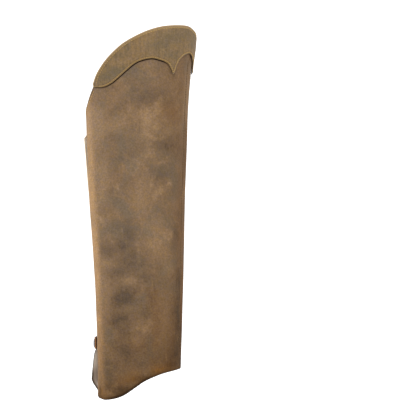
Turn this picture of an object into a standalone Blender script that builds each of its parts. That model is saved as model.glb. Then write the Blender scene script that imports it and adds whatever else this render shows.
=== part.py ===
# A tall leather half chap for one lower leg, worn over the boot from the ankle to just
# under the knee. It keeps the open, rounded form that the leg gives it. The chap for the
# other leg is its mirror image.
# +X is the shin, -Y the outer side and +Z up, in metres. The origin is on the leg's axis,
# inside the hollow, at the calf.
# A place on the leather is given by its turn, its height and its lift. The turn is in
# degrees about the leg's axis, 0 at the shin, 90 at the outer side, 180 at the back and
# 270 at the inner side. The height is above the lowest point of the hem. The lift is
# along the outward normal, from the outer face of the plain leather.
import math
from collections import namedtuple

import bmesh
import bpy
from mathutils import Vector

# Driving sizes
CALF_HEIGHT = 0.300
LEATHER = 0.0018
YOKE_LEATHER = 0.0018
TAPE = 0.0010
SEAM_GAP = 0.0003
YOKE_GAP = 0.0004
COLUMN_PITCH = 5.0
NORMAL_STEP = 0.5
OUTER_ROWS = 20
YOKE_ROWS = 7
SHARP_ANGLE = math.radians(40)

# Columns added where the outer panel folds to the back
FOLD_COLUMNS = (127.5, 132.5, 137.5, 142.5, 147.5, 152.5)

# The lap at the shin, where the outer panel covers the inner one
LAP_TURN = 18.0
LAP_ALLOWANCE = 11.0
LAP_EASE, LAP_REST = 18.0, 3.0

# The overlap at the back, where the flap of the inner panel covers the outer one
FLAP_TURN = 181.0
OVERLAP = 31.0
OVERLAP_REST, OVERLAP_EASE = 2.0, 16.0
FLARE_SPAN = 12.0
FLARE_POWER = 1.6
DIP_START, DIP_END = 168.0, 182.0
FLAP_COLUMNS = (183.0, 187.0, 192.0)

# The touch fastener under the flap
TAPE_START, TAPE_END = 188.0, 207.0
TAPE_BOTTOM, TAPE_TOP = 0.102, 0.310
TAPE_ROWS = 8
TAPE_FADE = 0.030

# The snap at the ankle, on its own tab
TAB_HEIGHT = 0.0651
TAB_HALF_WIDTH = 0.0070
TAB_TIP_FLAT = 0.0006
TAB_TIP, TAB_ROOT = 166.0, 213.0
TAB_ROWS = 4
TAB_COLUMNS = (167.0, 168.5, 172.5, 178.0, 183.0, 188.0)
SNAP_TURN = 172.5
CAP_RADIUS, CAP_DOME, CAP_RIM = 0.0055, 0.0011, 0.0003
STUD_RADIUS = 0.0040
STUD_TILT_ROOM = 0.0005
ROUND_SIDES = 24
DOME_RINGS = 4

# How far the outer face reaches from the leg's axis at each level
Level = namedtuple("Level", "height front back side")
LEVELS = [
    Level(0.000, 0.0542, 0.0471, 0.0416),
    Level(0.040, 0.0549, 0.0471, 0.0420),
    Level(0.085, 0.0563, 0.0482, 0.0430),
    Level(0.135, 0.0575, 0.0500, 0.0444),
    Level(0.185, 0.0588, 0.0531, 0.0466),
    Level(0.245, 0.0601, 0.0573, 0.0492),
    Level(0.308, 0.0624, 0.0600, 0.0514),
    Level(0.348, 0.0635, 0.0614, 0.0526),
    Level(0.383, 0.0654, 0.0634, 0.0542),
    Level(0.408, 0.0673, 0.0651, 0.0556),
    Level(0.438, 0.0713, 0.0673, 0.0576),
    Level(0.463, 0.0722, 0.0693, 0.0594),
]

# The section is round at the shin and squarer where it folds at the outer back:
# 2 is an ellipse, and more is nearer to a rectangle.
Corner = namedtuple("Corner", "turn squareness")
CORNERS = [
    Corner(0, 2.4),
    Corner(45, 2.7),
    Corner(90, 3.0),
    Corner(120, 3.7),
    Corner(148, 4.5),
    Corner(168, 4.0),
    Corner(195, 3.2),
    Corner(240, 2.8),
    Corner(300, 2.6),
    Corner(360, 2.4),
]

# The cut of each panel: where its hem and its top edge run
Cut = namedtuple("Cut", "turn hem top")
OUTER_CUT = [
    Cut(18, 0.0351, 0.4548),
    Cut(30, 0.0347, 0.4570),
    Cut(46, 0.0332, 0.4554),
    Cut(60, 0.0293, 0.4527),
    Cut(74, 0.0242, 0.4478),
    Cut(89, 0.0166, 0.4408),
    Cut(103, 0.0094, 0.4325),
    Cut(112, 0.0057, 0.4246),
    Cut(120, 0.0033, 0.4155),
    Cut(126, 0.0018, 0.4064),
    Cut(131.5, 0.0006, 0.3948),
    Cut(135.5, 0.0000, 0.3822),
    Cut(140, 0.0007, 0.3718),
    Cut(146, 0.0014, 0.3601),
    Cut(152, 0.0030, 0.3545),
    Cut(158, 0.0060, 0.3520),
    Cut(166, 0.0105, 0.3508),
    Cut(180, 0.0140, 0.3495),
    Cut(212, 0.0150, 0.3480),
]
INNER_CUT = [
    Cut(181, 0.0185, 0.3220),
    Cut(183, 0.0128, 0.3246),
    Cut(185, 0.0095, 0.3268),
    Cut(187, 0.0062, 0.3285),
    Cut(190, 0.0026, 0.3300),
    Cut(196, 0.0010, 0.3315),
    Cut(212, 0.0008, 0.3335),
    Cut(235, 0.0020, 0.3370),
    Cut(255, 0.0090, 0.3430),
    Cut(271, 0.0170, 0.3560),
    Cut(283, 0.0230, 0.3740),
    Cut(293, 0.0270, 0.3940),
    Cut(307, 0.0305, 0.4150),
    Cut(321, 0.0330, 0.4290),
    Cut(336, 0.0345, 0.4400),
    Cut(352, 0.0351, 0.4485),
    Cut(366, 0.0351, 0.4528),
    Cut(378, 0.0351, 0.4548),
    Cut(390, 0.0347, 0.4570),
]

# The lower edge of the yoke is the same on both sides of its centre line: an arch down to
# a point, and from the point a sweep that meets the top edge. Away is in degrees of turn
# from the centre line.
Wave = namedtuple("Wave", "away height")
YOKE_CENTRE = 26.0
YOKE_FIRST, YOKE_LAST = -73.0, 135.0
YOKE_POINT = 19.8
YOKE_ARCH = [
    Wave(0.0, 0.4243),
    Wave(3.5, 0.4237),
    Wave(7.0, 0.4215),
    Wave(10.3, 0.4182),
    Wave(13.4, 0.4146),
    Wave(15.6, 0.4100),
    Wave(17.2, 0.4045),
    Wave(YOKE_POINT, 0.3979),
]
YOKE_SWEEP = [
    Wave(YOKE_POINT, 0.3979),
    Wave(21.5, 0.4000),
    Wave(23.3, 0.4040),
    Wave(24.7, 0.4069),
    Wave(27.0, 0.4093),
    Wave(33.7, 0.4122),
    Wave(42.6, 0.4141),
    Wave(55.8, 0.4113),
    Wave(65.0, 0.4064),
    Wave(79.4, 0.3943),
    Wave(91.0, 0.3843),
    Wave(100.0, 0.3798),
    Wave(109.0, 0.3804),
]
YOKE_POINT_COLUMNS = (15.5, 17.0, 18.4, YOKE_POINT, 21.3, 22.8, 25.0)
YOKE_MIN_WIDTH = 0.0025

# How far the outer face of the flap's free edge stands off at each height: pulled in by
# the fastener, lifted over the snap, and flared below it and at its top corner
Flare = namedtuple("Flare", "height lift")
FLARES = [
    Flare(0.0185, 0.0099),
    Flare(0.0270, 0.0093),
    Flare(0.0380, 0.0080),
    Flare(0.0480, 0.0068),
    Flare(0.0540, 0.0056),
    Flare(0.0580, 0.0041),
    Flare(0.0650, 0.0038),
    Flare(0.0710, 0.0035),
    Flare(0.0780, 0.0024),
    Flare(0.0860, 0.0016),
    Flare(0.1000, 0.0010),
    Flare(0.1300, 0.0010),
    Flare(0.1650, 0.0010),
    Flare(0.2000, 0.0011),
    Flare(0.2380, 0.0019),
    Flare(0.2580, 0.0027),
    Flare(0.2740, 0.0034),
    Flare(0.2880, 0.0040),
    Flare(0.2980, 0.0044),
    Flare(0.3070, 0.0048),
    Flare(0.3150, 0.0054),
    Flare(0.3220, 0.0063),
]

# The outer face of the snap tab, from its tip to where it is sewn on the flap
Lift = namedtuple("Lift", "turn lift")
TAB_LIFTS = [
    Lift(166, 0.0042),
    Lift(171, 0.0050),
    Lift(176, 0.0057),
    Lift(181, 0.0062),
    Lift(186, 0.0056),
    Lift(191, 0.0048),
    Lift(197, 0.0044),
    Lift(213, 0.0044),
]


def follow(rows, at, field):
    # A smooth curve through the rows, by the slope between each row's neighbours
    keys = [row[0] for row in rows]
    last = len(rows) - 1
    low = max([k for k in range(last) if keys[k] <= at], default=0)
    high = low + 1

    def slope(k):
        before, after = rows[max(k - 1, 0)], rows[min(k + 1, last)]
        return (getattr(after, field) - getattr(before, field)) / (after[0] - before[0])

    span = keys[high] - keys[low]
    t = min(max((at - keys[low]) / span, 0.0), 1.0)
    start, end = getattr(rows[low], field), getattr(rows[high], field)
    rise = (3 - 2 * t) * t * t
    lean = (t * (1 - t) ** 2) * slope(low) - (t * t * (1 - t)) * slope(high)
    return start + (end - start) * rise + lean * span


def ease(at, start, end):
    t = min(max((at - start) / (end - start), 0.0), 1.0)
    return t * t * (3 - 2 * t)


def reach(turn, height):
    # Distance from the leg's axis to the outer face of the plain leather
    angle = math.radians(turn)
    along, across = abs(math.cos(angle)), abs(math.sin(angle))
    ahead = follow(LEVELS, height, "front" if math.cos(angle) > 0 else "back")
    side = follow(LEVELS, height, "side")
    power = follow(CORNERS, turn % 360, "squareness")
    return ((along / ahead) ** power + (across / side) ** power) ** (-1 / power)


def plain_point(turn, height):
    distance = reach(turn, height)
    angle = math.radians(turn)
    x, y = distance * math.cos(angle), -distance * math.sin(angle)
    return Vector((x, y, height - CALF_HEIGHT))


def normal_of(point_at, turn, height):
    # Horizontal, and square to the surface that point_at follows
    ahead = point_at(turn + NORMAL_STEP, height) - point_at(turn - NORMAL_STEP, height)
    return Vector((-ahead.y, ahead.x, 0)).normalized()


def place(turn, height, lift=0.0):
    return plain_point(turn, height) + normal_of(plain_point, turn, height) * lift


# The lifts of the layers, each to its outer face

TAPE_STACK = 2 * TAPE + 3 * SEAM_GAP
FLAP_LIFT = 0.0008
FLAP_OVER_PANEL = LEATHER + SEAM_GAP
DIP = LEATHER + TAPE_STACK - FLAP_LIFT


def dip_at(height):
    # The outer panel sinks under the flap as far as the fastener between them needs
    return DIP * ease(height, TAPE_BOTTOM - TAPE_FADE, TAPE_BOTTOM)


def outer_lift(turn, height):
    return -dip_at(height) * ease(turn, DIP_START, DIP_END)


def inner_lift(turn, height):
    fastened = ease(height, TAPE_BOTTOM - TAPE_FADE, TAPE_BOTTOM)
    over = FLAP_OVER_PANEL + (FLAP_LIFT - FLAP_OVER_PANEL) * fastened
    overlap_end = FLAP_TURN + OVERLAP
    settled = 1 - ease(turn, overlap_end + OVERLAP_REST, overlap_end + OVERLAP_EASE)
    free = max(1 - (turn - FLAP_TURN) / FLARE_SPAN, 0.0) ** FLARE_POWER
    flare = (follow(FLARES, height, "lift") - over) * free
    lap_start = 360 + LAP_TURN
    tucked = ease(turn, lap_start - LAP_EASE, lap_start - LAP_REST)
    return over * settled + flare - (LEATHER + SEAM_GAP) * tucked


def yoke_lift(turn, height):
    return YOKE_GAP + YOKE_LEATHER


def hook_lift(turn, height):
    return outer_lift(DIP_END, height) + SEAM_GAP + TAPE


def loop_lift(turn, height):
    return hook_lift(turn, height) + SEAM_GAP + TAPE


def tab_lift(turn, height):
    return follow(TAB_LIFTS, turn, "lift")


# Sheets


def columns(first, last, extra=()):
    steps = range(math.ceil(first / COLUMN_PITCH), math.floor(last / COLUMN_PITCH) + 1)
    return sorted({first, last, *extra, *[k * COLUMN_PITCH for k in steps]})


def even_rows(count):
    return [k / count for k in range(count + 1)]


def material(name, colour, roughness, metallic=0.0):
    made = bpy.data.materials.new(name)
    made.use_nodes = True
    shader = made.node_tree.nodes["Principled BSDF"]
    shader.inputs["Base Color"].default_value = (*colour, 1.0)
    shader.inputs["Roughness"].default_value = roughness
    shader.inputs["Metallic"].default_value = metallic
    made.diffuse_color = (*colour, 1.0)
    return made


def finish(name, mesh, look):
    mesh.materials.append(look)
    mesh.shade_smooth()
    mesh.set_sharp_from_angle(angle=SHARP_ANGLE)
    made = bpy.data.objects.new(name, mesh)
    bpy.context.scene.collection.objects.link(made)
    return made


def sheet(name, turns, fractions, edges, lift, thickness, look):
    # A wall of leather: its outer face is a grid, and its thickness goes inward
    faces = bmesh.new()
    grid = []
    for turn in turns:
        low, high = edges(turn)
        heights = [low + (high - low) * f for f in fractions]
        grid.append([faces.verts.new(place(turn, h, lift(turn, h))) for h in heights])
    for left, right in zip(grid, grid[1:]):
        for k in range(len(fractions) - 1):
            faces.faces.new((left[k], left[k + 1], right[k + 1], right[k]))
    mesh = bpy.data.meshes.new(name)
    faces.to_mesh(mesh)
    faces.free()
    made = finish(name, mesh, look)
    wall = made.modifiers.new("thickness", "SOLIDIFY")
    wall.thickness = thickness
    wall.offset = -1.0
    wall.use_even_offset = True
    return made


def panel_edges(cut):
    return lambda turn: (follow(cut, turn, "hem"), follow(cut, turn, "top"))


def make_outer_panel():
    look = material("oiled brown leather", (0.24, 0.155, 0.085), 0.55)
    turns = columns(LAP_TURN, FLAP_TURN + OVERLAP, FOLD_COLUMNS)
    rows = even_rows(OUTER_ROWS)
    return sheet(
        "outer_panel", turns, rows, panel_edges(OUTER_CUT), outer_lift, LEATHER, look
    )


def make_inner_panel():
    # Its rows lie at the heights that shape the flap's free edge
    look = material("oiled brown leather, inner side", (0.23, 0.148, 0.080), 0.55)
    turns = columns(FLAP_TURN, 360 + LAP_TURN + LAP_ALLOWANCE, FLAP_COLUMNS)
    low, high = FLARES[0].height, FLARES[-1].height
    rows = [(flare.height - low) / (high - low) for flare in FLARES]
    return sheet(
        "inner_panel", turns, rows, panel_edges(INNER_CUT), inner_lift, LEATHER, look
    )


def yoke_edges(turn):
    away = abs(turn - YOKE_CENTRE)
    wave = YOKE_ARCH if away < YOKE_POINT else YOKE_SWEEP
    on_outer = turn >= LAP_TURN
    top = follow(OUTER_CUT if on_outer else INNER_CUT, turn + 360 * (not on_outer), "top")
    return min(follow(wave, away, "height"), top - YOKE_MIN_WIDTH), top


def make_yoke():
    look = material("olive brown yoke leather", (0.21, 0.145, 0.072), 0.55)
    extra = [turn for turn in FOLD_COLUMNS if turn < YOKE_LAST]
    for away in YOKE_POINT_COLUMNS:
        extra += [YOKE_CENTRE - away, YOKE_CENTRE + away]
    turns = columns(YOKE_FIRST, YOKE_LAST, extra)
    rows = even_rows(YOKE_ROWS)
    return sheet("yoke", turns, rows, yoke_edges, yoke_lift, YOKE_LEATHER, look)


def make_tapes():
    look = material("brown touch fastener", (0.06, 0.042, 0.028), 0.9)
    turns = columns(TAPE_START, TAPE_END)
    rows = even_rows(TAPE_ROWS)
    for name, lift in (("hook_tape", hook_lift), ("loop_tape", loop_lift)):
        sheet(name, turns, rows, lambda turn: (TAPE_BOTTOM, TAPE_TOP), lift, TAPE, look)


def tab_point(turn, height):
    return place(turn, height, tab_lift(turn, height))


def tab_edges(turn):
    # The tip is a half circle
    from_tip = tab_point(turn, TAB_HEIGHT) - tab_point(TAB_TIP, TAB_HEIGHT)
    inside = min(from_tip.length + TAB_TIP_FLAT, TAB_HALF_WIDTH)
    half = math.sqrt(TAB_HALF_WIDTH**2 - (TAB_HALF_WIDTH - inside) ** 2)
    return TAB_HEIGHT - half, TAB_HEIGHT + half


def make_snap_tab():
    look = material("tan strap leather", (0.30, 0.17, 0.08), 0.6)
    turns = columns(TAB_TIP, TAB_ROOT, TAB_COLUMNS)
    rows = even_rows(TAB_ROWS)
    return sheet("snap_tab", turns, rows, tab_edges, tab_lift, LEATHER, look)


def turned(name, profile, foot, axis, look):
    # A solid turned about an axis through foot; the profile runs from base to crown
    side = axis.orthogonal().normalized()
    other = axis.cross(side)
    solid = bmesh.new()
    rings = []
    for radius, rise in profile:
        ring = []
        for k in range(ROUND_SIDES):
            angle = 2 * math.pi * k / ROUND_SIDES
            spoke = side * math.cos(angle) + other * math.sin(angle)
            ring.append(solid.verts.new(foot + axis * rise + spoke * radius))
        rings.append(ring)
    for lower, upper in zip(rings, rings[1:]):
        for k in range(ROUND_SIDES):
            m = (k + 1) % ROUND_SIDES
            solid.faces.new((lower[k], lower[m], upper[m], upper[k]))
    solid.faces.new(reversed(rings[0]))
    solid.faces.new(rings[-1])
    mesh = bpy.data.meshes.new(name)
    solid.to_mesh(mesh)
    solid.free()
    return finish(name, mesh, look)


def make_snap():
    look = material("nickel snap", (0.42, 0.41, 0.41), 0.3, 1.0)
    axis = normal_of(tab_point, SNAP_TURN, TAB_HEIGHT)
    tab_face = tab_lift(SNAP_TURN, TAB_HEIGHT)
    cap_foot = tab_point(SNAP_TURN, TAB_HEIGHT) + axis * SEAM_GAP
    dome = [(CAP_RADIUS, 0.0), (CAP_RADIUS, CAP_RIM)]
    for k in range(1, DOME_RINGS + 1):
        angle = math.pi / 2 * k / (DOME_RINGS + 0.5)
        dome.append((CAP_RADIUS * math.cos(angle), CAP_RIM + CAP_DOME * math.sin(angle)))
    turned("snap_cap", dome, cap_foot, axis, look)
    axis = normal_of(plain_point, SNAP_TURN, TAB_HEIGHT)
    stud_foot = place(SNAP_TURN, TAB_HEIGHT, SEAM_GAP)
    stud_top = tab_face - LEATHER - 2 * SEAM_GAP - STUD_TILT_ROOM
    post = [(STUD_RADIUS, 0.0), (STUD_RADIUS, stud_top)]
    turned("snap_stud", post, stud_foot, axis, look)


def clear_scene():
    for old in list(bpy.data.objects):
        bpy.data.objects.remove(old)


def main():
    clear_scene()
    make_outer_panel()
    make_inner_panel()
    make_yoke()
    make_tapes()
    make_snap_tab()
    make_snap()


main()
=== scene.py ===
import math
from collections import namedtuple

import bpy
import numpy as np
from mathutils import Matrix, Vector, noise


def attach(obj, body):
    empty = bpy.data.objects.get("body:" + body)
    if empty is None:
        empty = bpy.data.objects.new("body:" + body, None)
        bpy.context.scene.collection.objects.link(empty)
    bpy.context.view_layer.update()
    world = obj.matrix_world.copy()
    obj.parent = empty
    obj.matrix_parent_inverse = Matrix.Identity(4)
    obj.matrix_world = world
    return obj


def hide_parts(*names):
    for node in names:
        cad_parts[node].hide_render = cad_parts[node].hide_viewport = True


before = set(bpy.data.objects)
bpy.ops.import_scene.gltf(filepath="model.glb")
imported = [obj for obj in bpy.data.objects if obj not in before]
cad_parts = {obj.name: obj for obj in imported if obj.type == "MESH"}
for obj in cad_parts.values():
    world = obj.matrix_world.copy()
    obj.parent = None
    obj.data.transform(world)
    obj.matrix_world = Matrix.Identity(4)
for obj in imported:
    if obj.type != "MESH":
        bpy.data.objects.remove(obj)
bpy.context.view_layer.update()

# A tall leather half chap in the open form that the leg gives it.
# A place on the leather is given by its turn, its height and its lift. The turn is in
# degrees about the leg's axis: 0 at the shin, 90 at the outer side, 180 at the back and
# 270 at the inner side. The height is above the lowest hem, and the lift is out from
# the plain leather. Lengths are in metres.

level = namedtuple("level", "height front back side")
corner = namedtuple("corner", "turn squareness")
cut = namedtuple("cut", "turn hem top")
wave = namedtuple("wave", "away height")
standOff = namedtuple("standOff", "at lift")
crease = namedtuple("crease", "turn height lean length width depth")
patch = namedtuple("patch", "turn height wide tall amount")


def rowsOf(kind, *rows):
    return [kind(*row) for row in rows]


legForm = {
    "calfHeight": 0.300,
    "girthStep": 0.00093,  # metres round the leg for each degree of turn
    "probe": 0.5,  # degrees to either side, for the direction out from the leg
    "unevenness": 0.00030,
    "unevenSize": 0.038,
    "levels": rowsOf(
        level,
        (0.0, 0.0542, 0.0471, 0.0416), (0.04, 0.0549, 0.0471, 0.042), (0.085, 0.0563, 0.0482, 0.043),
        (0.135, 0.0575, 0.05, 0.0444), (0.185, 0.0588, 0.0531, 0.0466), (0.245, 0.0601, 0.0573, 0.0492),
        (0.308, 0.0624, 0.06, 0.0514), (0.348, 0.0635, 0.0614, 0.0526), (0.383, 0.0654, 0.0634, 0.0542),
        (0.408, 0.0673, 0.0651, 0.0556), (0.438, 0.0713, 0.0673, 0.0576),
        (0.463, 0.0722, 0.0693, 0.0594),
    ),
    # 2 is an ellipse, more is nearer to a rectangle
    "corners": rowsOf(
        corner,
        (0, 2.4), (45, 2.7), (90, 3.0), (120, 3.7), (148, 4.5), (168, 4.0), (195, 3.2), (240, 2.8),
        (300, 2.6), (360, 2.4),
    ),
    # soft troughs, and ridges where the depth is below 0
    "creases": rowsOf(
        crease,
        (150, 0.18, 0, 0.52, 0.01, -0.00095), (141, 0.19, 0, 0.33, 0.005, -0.0003),
        (2, 0.25, 0, 0.6, 0.012, -0.0004), (0, 0.425, 0, 0.07, 0.01, -0.0005),
        (52, 0.09, 4, 0.15, 0.008, -0.0006), (34, 0.11, 2, 0.2, 0.0075, 0.0007),
        (30, 0.25, -3, 0.17, 0.0085, 0.0005), (112, 0.265, 12, 0.11, 0.013, 0.0006),
        (84, 0.33, -24, 0.12, 0.012, 0.0005), (66, 0.205, 18, 0.14, 0.013, -0.0006),
        (104, 0.13, -14, 0.13, 0.012, 0.0007), (84, 0.095, 8, 0.1, 0.01, -0.00045),
        (118, 0.06, 6, 0.08, 0.008, 0.00045), (60, 0.365, 30, 0.08, 0.01, 0.00045),
        (232, 0.11, -10, 0.12, 0.011, 0.0009), (262, 0.15, 16, 0.15, 0.013, -0.0008),
        (250, 0.255, 28, 0.12, 0.012, 0.00085), (288, 0.23, -8, 0.19, 0.014, 0.0008),
        (276, 0.06, 10, 0.08, 0.009, 0.0007), (310, 0.15, 5, 0.18, 0.01, -0.0007),
        (318, 0.32, -18, 0.13, 0.011, 0.0007), (338, 0.22, 3, 0.22, 0.0085, 0.0006),
        (296, 0.35, 36, 0.08, 0.01, 0.0006), (222, 0.29, -6, 0.07, 0.008, 0.0006),
    ),
}

leather = {
    "thickness": 0.0018,
    "seamGap": 0.0003,
    "tape": 0.0010,
    "edgeSegments": 4,
    # how far from a cut edge the close rows of points lie
    "closeRows": (
        0.00055, 0.0009, 0.0014, 0.0019, 0.0024, 0.0030, 0.0035, 0.0040, 0.0045, 0.0051, 0.0060, 0.0075,
    ),
    "closeShare": 0.46,  # most of a narrow piece's half that the close rows take up
    "denseStep": 0.1,  # degrees between the points that the cut edges are worked out from
    "lineStep": 4,  # distances are measured to each fourth of those points
    "grooveWidth": 0.0008,
    "grooveEnds": (0.0015, 0.0050),
    "rollWidth": 0.0020,
    "skiveWidth": 0.0060,
    "skiveHeights": (0.06, 0.14),
}


def follow(rows, at, column):
    # a smooth curve through the rows, by the slope between each row's neighbours
    keys = np.array([row[0] for row in rows], float)
    values = np.array([getattr(row, column) for row in rows], float)
    places = np.arange(len(rows))
    before, after = np.maximum(places - 1, 0), np.minimum(places + 1, len(rows) - 1)
    slopes = (values[after] - values[before]) / (keys[after] - keys[before])
    low = np.clip(np.searchsorted(keys, at, side="right") - 1, 0, len(rows) - 2)
    span = keys[low + 1] - keys[low]
    t = np.clip((at - keys[low]) / span, 0, 1)
    rise = (3 - 2 * t) * t * t
    lean = t * (1 - t) ** 2 * slopes[low] - t * t * (1 - t) * slopes[low + 1]
    return values[low] + (values[low + 1] - values[low]) * rise + lean * span


def ease(at, start, end):
    t = np.clip((at - start) / (end - start), 0, 1)
    return t * t * (3 - 2 * t)


def fall(at, start, end):
    return 1 - ease(at, start, end)


def between(at, start, full, falling, end):
    # 1 from full to falling, and 0 before the start and after the end
    return ease(at, start, full) * fall(at, falling, end)


def unit(vectors):
    return vectors / np.linalg.norm(vectors, axis=-1, keepdims=True)


def awayFrom(turns, turn):
    # metres round the leg from one turn, the short way
    return (np.mod(turns - turn + 180, 360) - 180) * legForm["girthStep"]


def legReach(turn, height):
    angle = np.radians(turn)
    along, across = np.abs(np.cos(angle)), np.abs(np.sin(angle))
    front, back = (follow(legForm["levels"], height, name) for name in ("front", "back"))
    ahead = np.where(np.cos(angle) > 0, front, back)
    side = follow(legForm["levels"], height, "side")
    power = follow(legForm["corners"], np.mod(turn, 360), "squareness")
    return ((along / ahead) ** power + (across / side) ** power) ** (-1 / power)


def plainPlace(turn, height):
    reach, angle = legReach(turn, height), np.radians(turn)
    up = height - legForm["calfHeight"] + 0 * reach
    return np.stack([reach * np.cos(angle), -reach * np.sin(angle), up], axis=-1)


def outwardAt(turn, height):
    ahead = plainPlace(turn + legForm["probe"], height) - plainPlace(turn - legForm["probe"], height)
    return unit(np.stack([-ahead[..., 1], ahead[..., 0], 0 * ahead[..., 0]], axis=-1))


def swell(turn, height):
    # the creases and the slight unevenness, the same for every layer at a place
    out = np.zeros(np.broadcast(turn, height).shape)
    for fold in legForm["creases"]:
        across = awayFrom(turn, fold.turn)
        up, lean = height - fold.height, math.radians(fold.lean)
        along = across * math.sin(lean) + up * math.cos(lean)
        beside = across * math.cos(lean) - up * math.sin(lean)
        fade = np.exp(-((2 * along / fold.length) ** 4))
        out -= fold.depth * fade * np.exp(-((beside / fold.width) ** 2))
    spots = plainPlace(turn, height).reshape(-1, 3) / legForm["unevenSize"]
    bumps = np.array([noise.noise(Vector(spot)) for spot in spots]).reshape(out.shape)
    return out + legForm["unevenness"] * bumps


def place(turn, height, lift):
    out = np.asarray(lift + swell(turn, height))[..., None]
    return plainPlace(turn, height) + outwardAt(turn, height) * out


def insetEdge(arc, heights, distance, inward):
    # the line that lies that far inside a cut edge; inward is 1 over a hem, -1 under a top
    found = heights + inward * distance
    spots = np.arange(len(arc))
    reach = int(distance / max(np.diff(arc).min(), 1e-5)) + 1
    for shift in range(-reach, reach + 1):
        other = np.clip(spots + shift, 0, len(arc) - 1)
        away = np.abs(arc[other] - arc)
        rise = heights[other] + inward * np.sqrt(np.maximum(distance**2 - away**2, 0))
        better = (away <= distance) & (inward * rise > inward * found)
        found = np.where(better, rise, found)
    return found


def arcOf(turns, heights):
    # metres round the leg along a line, from its first point
    seenFromAbove = plainPlace(turns, heights)[:, :2]
    steps = np.linalg.norm(np.diff(seenFromAbove, axis=0), axis=1)
    return np.concatenate([[0], np.cumsum(steps)])


def spaced(length, size):
    # distances from 0 to length: close together at both ends, even between
    close = np.array(leather["closeRows"])
    count = max(int(round((length - 2 * close[-1]) / size)), 2)
    even = np.linspace(close[-1], length - close[-1], count + 1)[1:-1]
    return np.concatenate([close, even, length - close[::-1]])


def layOut(piece):
    # the columns and rows of a piece, and how far each point lies from its cut edges
    dense = np.arange(piece["firstTurn"], piece["lastTurn"] + leather["denseStep"] / 2, leather["denseStep"])
    hem, top = piece["edges"](dense)
    middle = arcOf(dense, (hem + top) / 2)
    columns = np.interp(spaced(middle[-1], piece["columnSize"]), middle, dense)
    close = np.array(leather["closeRows"])
    width = np.interp(columns, dense, top - hem)
    lowRows, highRows = [], []
    hemArc, topArc = arcOf(dense, hem), arcOf(dense, top)
    hemAt, topAt = np.interp(columns, dense, hem), np.interp(columns, dense, top)
    for distance in close:
        most = leather["closeShare"] * width * distance / close[-1]
        low = np.interp(columns, dense, insetEdge(hemArc, hem, distance, 1)) - hemAt
        high = topAt - np.interp(columns, dense, insetEdge(topArc, top, distance, -1))
        lowRows.append(hemAt + np.minimum(low, most))
        highRows.append(topAt - np.minimum(high, most))
    count = max(int((top - hem).max() / piece["rowSize"]), 3)
    share = np.linspace(0, 1, count + 1)[1:-1]
    evenRows = [lowRows[-1] + (highRows[-1] - lowRows[-1]) * f for f in share]
    heights = np.stack(lowRows + evenRows + highRows[::-1], axis=1)
    turns = np.repeat(columns[:, None], heights.shape[1], axis=1)
    around = np.repeat(np.interp(columns, dense, middle)[:, None], heights.shape[1], axis=1)
    return dense, hem, top, middle, turns, heights, around


def distanceTo(around, heights, lineAround, lineHeights):
    found = np.empty(around.shape)
    for k in range(len(around)):
        across = around[k][:, None] - lineAround[None, :]
        up = heights[k][:, None] - lineHeights[None, :]
        found[k] = np.sqrt((across**2 + up**2).min(axis=1))
    return found


def normalsOf(points):
    return unit(np.cross(np.gradient(points, axis=1), np.gradient(points, axis=0)))


def addObject(name, data):
    made = bpy.data.objects.new(name, data)
    bpy.context.scene.collection.objects.link(made)
    return made


def standIn(name, mesh, node):
    # a finished piece, in the place of a CAD node
    made = addObject(name, mesh)
    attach(made, "root")
    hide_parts(node)
    return made


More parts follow.
